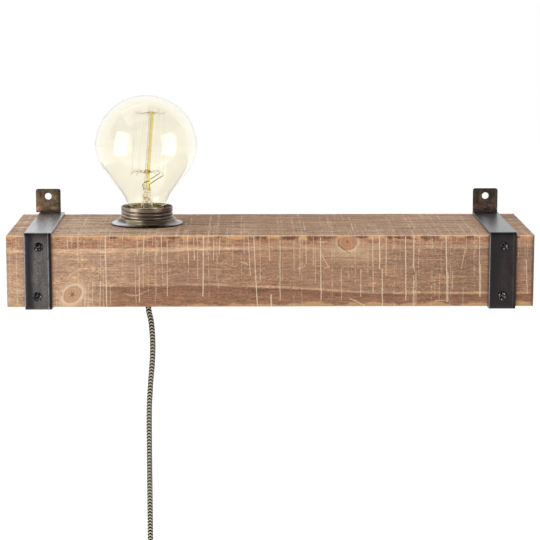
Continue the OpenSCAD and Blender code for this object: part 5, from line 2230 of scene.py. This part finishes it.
@dataclass
class StrapScrews:
    """Four black pan-head screws with cross recesses."""

    places: tuple[tuple[float, float], ...] = (
        (-173.6, -23.5), (-175.2, -61.5), (178.1, -23.5), (177.5, -61.5),
    )
    seat: float = -118.0
    head: float = 3.5
    rise: float = 1.8
    turns: tuple[float, ...] = (38.0, 62.0, 20.0, 49.0)
    slot: tuple[float, ...] = (3.9, 2.2, 0.85, 1)

    def build(self, finish: Material) -> Piece:
        """Make the screws and dress them.

        Args:
            finish: The material.

        Returns:
            The piece.
        """
        shape = Shape()
        for x, z in self.places:
            dome = arc((0, 0), 1.0, 90, 8, 10)
            outline = [(self.head * c, 0.2 + (self.rise - 0.2) * s) for c, s in dome]
            outline += [(self.head, 0.25), (self.head - 0.15, 0.0), (2.0, 0.0), (2.0, -20.0), (0.0, -24.0)]
            shape.spin(outline, Vector((0, 0, 0)), 40)
            turned = [v for v in shape.bm.verts if not v.tag]
            place = Matrix.Translation((x, self.seat, z)) @ Matrix.Rotation(math.radians(90), 4, "X")
            bmesh.ops.transform(shape.bm, matrix=place, verts=turned)
            for vertex in turned:
                vertex.tag = True
        piece = shape.piece("pan_head_screws", finish, Body.LAMP, 40.0)
        cutter = Shape()
        for (x, z), turn in zip(self.places, self.turns):
            for extra in (0, 90):
                spot = Matrix.Translation((x, self.seat - self.rise, z))
                matrix = spot @ Matrix.Rotation(math.radians(turn + extra), 4, "Y")
                matrix = matrix @ Matrix.Diagonal(self.slot)
                made = bmesh.ops.create_cube(cutter.bm, size=1, matrix=matrix)["verts"]
                inner = [v for v in made if v.co.y > self.seat - self.rise]
                axis = Matrix.Translation((-x, 0, -z))
                bmesh.ops.scale(cutter.bm, vec=(0.62, 1, 0.62), space=axis, verts=inner)
        cut_out(piece, cutter)
        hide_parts("strap_screws")
        return piece


# ---------------------------------------------------------------- lampholder


@dataclass
class Lampholder:
    """The threaded mantle in its pressed ring, and what it holds inside the beam."""

    radius: float = 20.3
    bore: float = 19.1
    rise: float = 14.0
    drop: float = 19.0
    pitch: float = 2.7
    depth: float = 0.65
    rim: float = 28.5

    def _thread(self, point: Vector) -> Vector:
        """Press the rounded thread into the mantle's side.

        Args:
            point: The point.

        Returns:
            The point's new place.
        """
        x, y, h = point - SEAT
        radius = math.hypot(x, y)
        if radius < self.radius - 0.2:
            return point
        turn = math.atan2(y, x) / (2 * math.pi)
        phase = (h / self.pitch + turn) % 1.0
        groove = math.exp(-(((phase - 0.5) / 0.17) ** 2)) + 0.10 * (1 - math.cos(2 * math.pi * phase)) / 2
        run = smooth(h, self.rise - 2.3, self.rise - 3.1) * smooth(h, -self.drop + 1.0, -self.drop + 2.0)
        scale = (radius - self.depth * groove * run) / radius
        return SEAT + Vector((x * scale, y * scale, h))

    def mantle(self, finish: Material) -> Piece:
        """Make the threaded mantle.

        Args:
            finish: The material.

        Returns:
            The piece.
        """
        heights = [self.rise - 0.9 - 0.27 * k for k in range(44)]
        heights += [heights[-1] - 0.75 * k for k in range(1, 27)]
        heights = [h for h in heights if h > -self.drop]
        outer = arc((self.radius - 0.45, self.rise - 0.45), 0.45, 100, 0, 6)
        outline = [(self.bore, self.rise - 0.5), (self.bore + 0.12, self.rise - 0.15), *outer]
        outline += [(self.radius, h) for h in heights]
        outline += [(self.radius, -self.drop), (self.bore, -self.drop)]
        shape = Shape()
        shape.spin(outline, SEAT, 128)
        shape.move(self._thread)
        piece = shape.piece("threaded_mantle", finish, Body.LAMP, 50.0)
        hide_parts("lampholder_mantle")
        return piece

    def ring(self, finish: Material) -> Piece:
        """Make the pressed ring with its hollow flare and rolled rim.

        Args:
            finish: The material.

        Returns:
            The piece.
        """
        bore = self.radius + 0.1
        flare = [(27.3, 0.98), (26.4, 1.02), (25.5, 1.2), (24.7, 1.52), (24.0, 1.98), (23.4, 2.55)]
        hub = [(22.95, 3.15), (22.62, 3.75), (22.35, 4.3), (22.0, 4.78), (21.5, 5.08), (20.9, 5.2)]
        outline = [(bore, 0.0), (self.rim - 0.5, 0.0), *arc((self.rim - 0.5, 0.5), 0.5, -80, 90, 8)]
        outline += [*flare, *hub, (bore + 0.2, 5.15), (bore, 4.9)]
        shape = Shape()
        shape.spin(outline, SEAT, 128)
        piece = shape.piece("pressed_ring", finish, Body.LAMP, 40.0)
        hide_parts("shade_ring")
        return piece

    def build(self, effects: Effects) -> None:
        """Make and dress all its pieces.

        Args:
            effects: The shared effects.
        """
        # Painted light on the mantle: a lit colour on the left, shaded colours to the right
        sides, middle, dark = paint(164, 152, 138), paint(132, 117, 102), paint(104, 92, 84)
        gun_tones = ((-20.0, sides), (-8.0, sides), (1.0, middle), (12.0, dark), (20.0, dark))
        gun = GunmetalFinish("gunmetal", gun_tones, 0.3).build(effects)
        # Painted reflection on the ring: pale on the left, dark in the middle, greyer on the right
        left, bottom, right = paint(192, 190, 194), paint(60, 50, 44), paint(126, 119, 116)
        ring_tones = (
            (-28.0, left), (-15.0, left), (-9.0, bottom), (13.0, bottom), (19.0, right), (27.0, right),
        )
        pressed = GunmetalFinish("burnished_ring", ring_tones, 0.2, flare_from=24.2, rim_from=27.5)
        zinc = MetalFinish("zinc_plate", paint(176, 178, 182), paint(140, 143, 150), 0.33).build(effects)
        brass = MetalFinish("brass_sheet", paint(214, 172, 98), paint(176, 132, 66), 0.28).build(effects)
        glaze = MouldedFinish("glazed_porcelain", paint(232, 229, 220), paint(206, 200, 188), 0.14, 0.5, 0.3)
        porcelain = glaze.build(effects)
        nylon = MouldedFinish("black_nylon", paint(24, 24, 26), paint(44, 43, 44), 0.42).build(effects)
        core = MouldedFinish("core_brown", paint(112, 62, 34), paint(88, 46, 26), 0.4).build(effects)
        self.mantle(gun)
        self.ring(pressed.build(effects))
        for node, finish, slot in (
            ("lampholder_cap", gun, "gunmetal"), ("lampholder_insert", porcelain, "porcelain"),
            ("thread_sleeve", brass, "brass"), ("centre_contact", brass, "brass"),
            ("holder_terminals", brass, "brass"), ("terminal_screws", zinc, "zinc"),
            ("fixing_nipple", zinc, "zinc"), ("nipple_washer", zinc, "zinc"), ("nipple_nut", zinc, "zinc"),
            ("cord_bush", nylon, "black_nylon"), ("cord_cores", core, "core_brown"),
        ):
            dress(node, finish, slot)


# ---------------------------------------------------------------- bulb


@dataclass
class GlobeBulb:
    """The globe bulb: blown glass, screw cap, stem, leaning rod and filament cage."""

    radius: float = 40.0
    middle: float = 60.8
    wall: float = 0.8
    neck: float = 16.0
    neck_z: float = 15.8
    cap: float = 13.2
    cap_top: float = 12.8
    cap_bottom: float = -14.2
    rod_foot: tuple[float, float, float] = (-0.3, 0.0, 27.9)
    rod_top: tuple[float, float, float] = (4.2, 0.0, 86.93)
    low_hub: float = 40.94
    cage: float = 13.0
    supports: int = 8
    reach: float = 1.6

    def _glass_line(self, depth: float) -> list[tuple[float, float]]:
        """Half outline of the glass at a depth below its skin, from the crown down to the neck.

        Args:
            depth: Depth below the skin, in millimetres.

        Returns:
            The outline.
        """
        drop = self.middle - self.neck_z
        a, b = Vector((self.radius, self.middle)), Vector((self.radius, self.middle - 0.46 * drop))
        c, d = Vector((self.neck, self.neck_z + 0.24 * drop)), Vector((self.neck, self.neck_z))
        belly = []
        for k in range(1, 32):
            t = k / 32
            point = (1 - t) ** 3 * a + 3 * (1 - t) ** 2 * t * b + 3 * (1 - t) * t * t * c + t ** 3 * d
            slope = 3 * ((1 - t) ** 2 * (b - a) + 2 * (1 - t) * t * (c - b) + t * t * (d - c))
            slope.normalize()
            belly.append((point.x + depth * slope.y, point.y - depth * slope.x))
        return [
            *arc((0, self.middle), self.radius - depth, 90, 0, 30), *belly,
            *arc((self.neck - 2.4, self.neck_z), 2.4 - depth, 0, -75, 6),
        ]

    def glass(self, finish: Material) -> Piece:
        """Blow the globe, with its neck tucked into the cap.

        Args:
            finish: The material.

        Returns:
            The piece.
        """
        root = self.cap - 0.45
        outline = [*self._glass_line(0.0), (root, self.cap_top + 0.3), (root, self.cap_top - 8)]
        outline += [(root - self.wall, self.cap_top - 8), (root - self.wall, self.cap_top + 0.3 + self.wall)]
        outline += reversed(self._glass_line(self.wall))
        shape = Shape()
        shape.spin(outline, SEAT, 128, closed=False)
        piece = shape.piece("blown_globe", finish, Body.BULB, 60.0)
        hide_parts("bulb_glass")
        return piece

    def screw_cap(self, finish: Material) -> Piece:
        """Make the brass cap with its rolled thread.

        Args:
            finish: The material.

        Returns:
            The piece.
        """
        shoulder, foot = self.cap_bottom + 7.2, self.cap_bottom + 3.0
        heights = [self.cap_top - 0.4 * k for k in range(1, 48) if self.cap_top - 0.4 * k > shoulder]
        outer = [(self.cap - 0.15, self.cap_top), *[(self.cap, h) for h in heights]]
        outer += [(self.cap, shoulder), (8.5, foot)]
        inner = [(r - 0.35, h + (0.15 if h < shoulder + 0.1 else 0)) for r, h in reversed(outer)]
        shape = Shape()
        shape.spin(outer + inner, SEAT, 96)

        def roll(point: Vector) -> Vector:
            """Press the thread into the cap.

            Args:
                point: The point.

            Returns:
                The point's new place.
            """
            x, y, h = point - SEAT
            turn = math.atan2(y, x) / (2 * math.pi)
            run = smooth(h, self.cap_top - 1.2, self.cap_top - 3.0)
            run *= smooth(h, shoulder - 0.2, shoulder + 1.6)
            wave = 0.5 - 0.5 * math.cos(2 * math.pi * (h / 3.64 + turn))
            radius = math.hypot(x, y)
            scale = (radius - 0.85 * wave * run) / radius
            return SEAT + Vector((x * scale, y * scale, h))

        shape.move(roll)
        piece = shape.piece("rolled_cap", finish, Body.BULB, 50.0)
        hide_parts("bulb_cap")
        return piece

    def stem(self, finish: Material) -> Piece:
        """Make the glass flare and the flat pinch on it.

        Args:
            finish: The material.

        Returns:
            The piece.
        """
        bottom, pinch = self.cap_top - 8, self.cap_top + 8
        outer = [(11.7, bottom), (10.4, bottom + 1.2), (8.4, bottom + 2.8), (6.9, bottom + 4.8)]
        outer += [(5.7, bottom + 7.2), (4.8, bottom + 9.6), (4.1, bottom + 12)]
        outer += [(3.6, pinch - 2.2), (3.2, pinch - 0.6), (2.2, pinch + 0.2)]
        inner = [(max(0.0, r - 0.75), h - 0.35) for r, h in reversed(outer)]
        shape = Shape()
        outline = [(0, pinch + 0.3), *reversed(outer), *reversed(inner), (0, pinch - 0.6)]
        shape.spin(outline, SEAT, 48, closed=False)
        shape.block((6.4, 2.6, 7.2), SEAT + Vector((0, 0, pinch + 3.4)), 0.9, 4)
        piece = shape.piece("flared_stem", finish, Body.BULB, 60.0)
        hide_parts("bulb_stem")
        return piece

    def rod(self, finish: Material) -> Piece:
        """Draw the leaning glass rod.

        Args:
            finish: The material.

        Returns:
            The piece.
        """
        foot, top = SEAT + Vector(self.rod_foot), SEAT + Vector(self.rod_top) - Vector((0, 0, 1.2))
        path = [foot.lerp(top, k / 24) for k in range(25)]
        frames = frames_along(path, Vector((1, 0, 0)))
        shape = Shape()
        shape.sweep(circle(1.0, 24), [
            matrix @ Matrix.Diagonal((*(2.2 - 0.4 * k / 24 + 0.05 * math.sin(k * 1.3),) * 2, 1, 1))
            for k, matrix in enumerate(frames)
        ])
        shape.tidy()
        piece = shape.piece("leaning_rod", finish, Body.BULB, 50.0)
        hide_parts("bulb_rod")
        return piece

    def _hub(self, level: int) -> Vector:
        """Middle of the lower (0) or upper (1) button.

        Args:
            level: Number of the level.

        Returns:
            The place.
        """
        if level:
            return SEAT + Vector(self.rod_top)
        foot, top = Vector(self.rod_foot), Vector(self.rod_top)
        return SEAT + foot.lerp(top, (self.low_hub - foot.z) / (top.z - foot.z))

    def _angles(self, level: int) -> list[float]:
        """Directions of the hooks at a level, in radians."""
        count = self.supports + 1 - level
        return [math.radians(45 + 300 * (k + 0.5 * level) / self.supports) for k in range(count)]

    def _hook(self, level: int, angle: float) -> Vector:
        """Place of a hook's tip."""
        return self._hub(level) + self.cage * Vector((math.cos(angle), math.sin(angle), 0))

    def cage_supports(self, level: int, button: Material, wire: Material) -> Piece:
        """Make one glass button and the pigtail hooks in it.

        Args:
            level: 0 for the lower supports, 1 for the upper ones.
            button: Material of the button.
            wire: Material of the hooks.

        Returns:
            The piece.
        """
        shape = Shape()
        hub = self._hub(level)
        side = 1 if level else -1
        for angle in self._angles(level):
            out = Vector((math.cos(angle), math.sin(angle), 0))
            round_ = Vector((-math.sin(angle), math.cos(angle), 0))
            tip, up = self._hook(level, angle), Vector((0, 0, side))
            wave = 0.5 + 0.5 * math.sin(5 * angle)
            path = [hub + 1.2 * out, hub + 4.5 * out + (0.3 + 0.5 * wave) * up]
            path += [hub + 7.5 * out - (0.3 + 0.9 * wave) * up, hub + 9.5 * out + 0.4 * wave * up]
            path += [tip - 1.5 * out - 0.3 * up, tip - 0.75 * out + 0.9 * up]
            path += [tip - 0.2 * out + 1.45 * up + 0.15 * round_, tip + 0.25 * out + 1.6 * up]
            smooth_path = BraidedCord.rounded(path, 0.6)
            shape.sweep(circle(0.14, 6), frames_along(smooth_path, round_))
        split = len(shape.bm.faces)
        flat = Matrix.Diagonal((1.0, 1.0, 0.6, 1.0))
        shape.ball(2.6, Matrix.Translation(hub) @ flat, 28)
        bmesh.ops.recalc_face_normals(shape.bm, faces=shape.bm.faces)
        for index, face in enumerate(shape.bm.faces):
            face.material_index = 0 if index < split else 1
        name = "upper_hooks" if level else "lower_hooks"
        piece = shape.piece(name, wire, Body.BULB, 60.0)
        piece.data.materials.append(button)
        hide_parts("bulb_supports_upper" if level else "bulb_supports_lower")
        return piece

    def filament(self, finish: Material) -> Piece:
        """String the filament up and down over every hook.

        Args:
            finish: The material.

        Returns:
            The piece.
        """
        low, high = self._angles(0), self._angles(1)
        path = []
        for k in range(2 * self.supports + 1):
            level = k % 2
            angle = high[k // 2] if level else low[k // 2]
            up = 1 if level else -1
            round_ = Vector((-math.sin(angle), math.cos(angle), 0))
            for aside, lower in ((-0.4, 0.4), (0.0, 0.0), (0.4, 0.4)):
                rise = Vector((0, 0, up * (self.reach + 0.4 - lower)))
                path.append(self._hook(level, angle) + aside * round_ + rise)
        shape = Shape()
        shape.sweep(circle(0.055, 5), frames_along(path, Vector((0.3, 0.2, 0.1)).normalized()))
        shape.tidy()
        piece = shape.piece("carbon_filament", finish, Body.BULB, 60.0)
        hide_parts("bulb_filament")
        return piece

    def lead_wires(self, finish: Material) -> Piece:
        """Bend the two stiff wires from the pinch to the outer hooks.

        Args:
            finish: The material.

        Returns:
            The piece.
        """
        shape = Shape()
        foot = self.rod_foot[2]
        for x, y, hook in ((2.5, -0.3, self._angles(0)[-1]), (-2.5, 2.8, self._angles(0)[0])):
            end = self._hook(0, hook) - SEAT - Vector((0, 0, 2.5))
            path = [Vector((x, 0, foot)), Vector((x, 0, foot + 1)), Vector((x, y, foot + 3.3)), end]
            path = BraidedCord.rounded([SEAT + p for p in path], 1.0)
            shape.sweep(circle(0.3, 10), frames_along(path, Vector((0, 1, 0))))
        shape.tidy()
        piece = shape.piece("lead_wires", finish, Body.BULB, 60.0)
        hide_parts("bulb_lead_wires")
        return piece

    def build(self, effects: Effects) -> None:
        """Make and dress all its pieces.

        Args:
            effects: The shared effects.
        """
        amber = GlassFinish("amber_glass", paint(254, 251, 240), clear_rim=True).build(effects)
        clear = GlassFinish("stem_glass", paint(250, 249, 242), 0.0, stain=paint(190, 152, 92)).build(effects)
        foot, rod = SEAT + Vector(self.rod_foot), Vector(self.rod_top) - Vector(self.rod_foot)
        soft = RodFinish(
            "honey_glass", paint(232, 230, 216), paint(240, 221, 124), (foot.x, foot.z), rod.x / rod.z,
        )
        brass = MetalFinish("cap_brass", paint(246, 212, 136), paint(222, 180, 100), 0.28).build(effects)
        wire = MetalFinish("support_wire", paint(206, 188, 156), paint(166, 148, 120), 0.35).build(effects)
        lead = MetalFinish("lead_wire", paint(112, 104, 92), paint(78, 72, 64), 0.4).build(effects)
        # Painted highlight: the filament is coloured near white, as the lit strands look
        highlit_carbon = MetalFinish("carbon_filament", paint(250, 245, 232), paint(236, 228, 206), 0.4)
        button = GlassFinish("button_glass", paint(240, 219, 170), 0.06, 0.01, 1.3).build(effects)
        black = MouldedFinish("black_glass", paint(22, 20, 22), paint(40, 38, 40), 0.12, 0.5, 0.4)
        solder = MetalFinish("solder", paint(196, 198, 200), paint(160, 164, 168), 0.38).build(effects)
        self.glass(amber)
        self.screw_cap(brass)
        self.stem(clear)
        self.rod(soft.build())
        self.cage_supports(0, button, wire)
        self.cage_supports(1, button, wire)
        self.filament(highlit_carbon.build(effects))
        self.lead_wires(lead)
        dress("bulb_insulator", black.build(effects), "black_glass")
        dress("bulb_contact", solder, "solder")


# ---------------------------------------------------------------- assembly


def main() -> None:
    """Build the lamp in order, and report each piece."""
    logging.basicConfig(level=logging.INFO, format="%(message)s")
    effects = Effects()
    Studio().build()
    cord = BraidedCord()
    upper, lower = cord.build(effects)

    SawnBeam().build(PineFinish().build(effects))
    # Lit and shaded copies of one steel: the left strap's paler colours are painted light, the right strap's
    # darker ones painted shade
    left = StrapFinish(
        "left_strap_steel", paint(56, 53, 55), paint(110, 104, 102), paint(188, 189, 194),
        paint(132, 124, 120), paint(186, 186, 194), 0.9,
    )
    right = StrapFinish(
        "right_strap_steel", paint(52, 49, 51), paint(59, 54, 53), paint(122, 124, 128), paint(50, 44, 42),
        paint(96, 92, 92), 0.5, 0.22,
    )
    BentStrap("bent_strap_left", "strap_left", -174.5).build(left.build(effects))
    BentStrap("bent_strap_right", "strap_right", 177.5).build(right.build(effects))
    pink, gold, tan = paint(222, 158, 142), paint(206, 182, 140), paint(160, 122, 100)
    rust = paint(132, 88, 78)
    olive = PatinaFinish(
        "olive_patina", paint(148, 128, 100), paint(104, 84, 68), -177.5,
        ((-7.0, 3.0, 2.6, 1.9, pink), (-4.5, 9.0, 2.0, 3.0, tan), (4.2, 3.4, 2.6, 1.3, gold)), 0.45,
    ).build(effects)
    umber = PatinaFinish(
        "umber_patina", paint(100, 84, 70), paint(68, 57, 50), 177.5,
        ((-7.0, 4.2, 2.6, 1.8, rust), (-1.5, 3.8, 2.6, 1.4, rust), (4.5, 4.2, 2.4, 1.6, rust)), 0.8,
    ).build(effects)
    WallTab("drilled_tab_left", "wall_tab_left", -177.5).build(olive)
    WallTab("drilled_tab_right", "wall_tab_right", 177.5).build(umber)
    weld = MetalFinish("weld", paint(120, 104, 92), paint(48, 42, 40), 0.4, 0.15, 1.2, 0.1).build(effects)
    WeldBeads().build(weld)
    black = MetalFinish(
        "black_screw", paint(44, 43, 46), paint(22, 21, 23), 0.22, 0.06, 1.5, 0.3,
        # Painted glints on the screw heads
        specks=paint(150, 150, 154),
    ).build(effects)
    StrapScrews().build(black)

    Lampholder().build(effects)
    GlobeBulb().build(effects)
    shell = MouldedFinish("switch_shell", paint(28, 27, 28), paint(42, 41, 42), 0.45).build(effects)
    rocker = MouldedFinish("switch_rocker", paint(34, 33, 34), paint(52, 50, 50), 0.32).build(effects)
    zinc = MetalFinish("plated_steel", paint(182, 184, 188), paint(150, 152, 158), 0.3).build(effects)
    for node, finish, slot in (
        ("switch_front_shell", shell, "black_nylon"), ("switch_back_shell", shell, "black_nylon"),
        ("switch_rocker", rocker, "black_nylon"), ("switch_screws", zinc, "zinc"),
        ("switch_contacts", zinc, "zinc"), ("coil_tie", shell, "black_nylon"),
        ("plug_body", shell, "black_nylon"), ("plug_relief", rocker, "black_nylon"),
        ("plug_pins", zinc, "zinc"), ("plug_pin_sleeves", shell, "black_nylon"),
    ):
        dress(node, finish, slot)
    cord.declare(upper, lower)


if __name__ == "__main__":
    main()
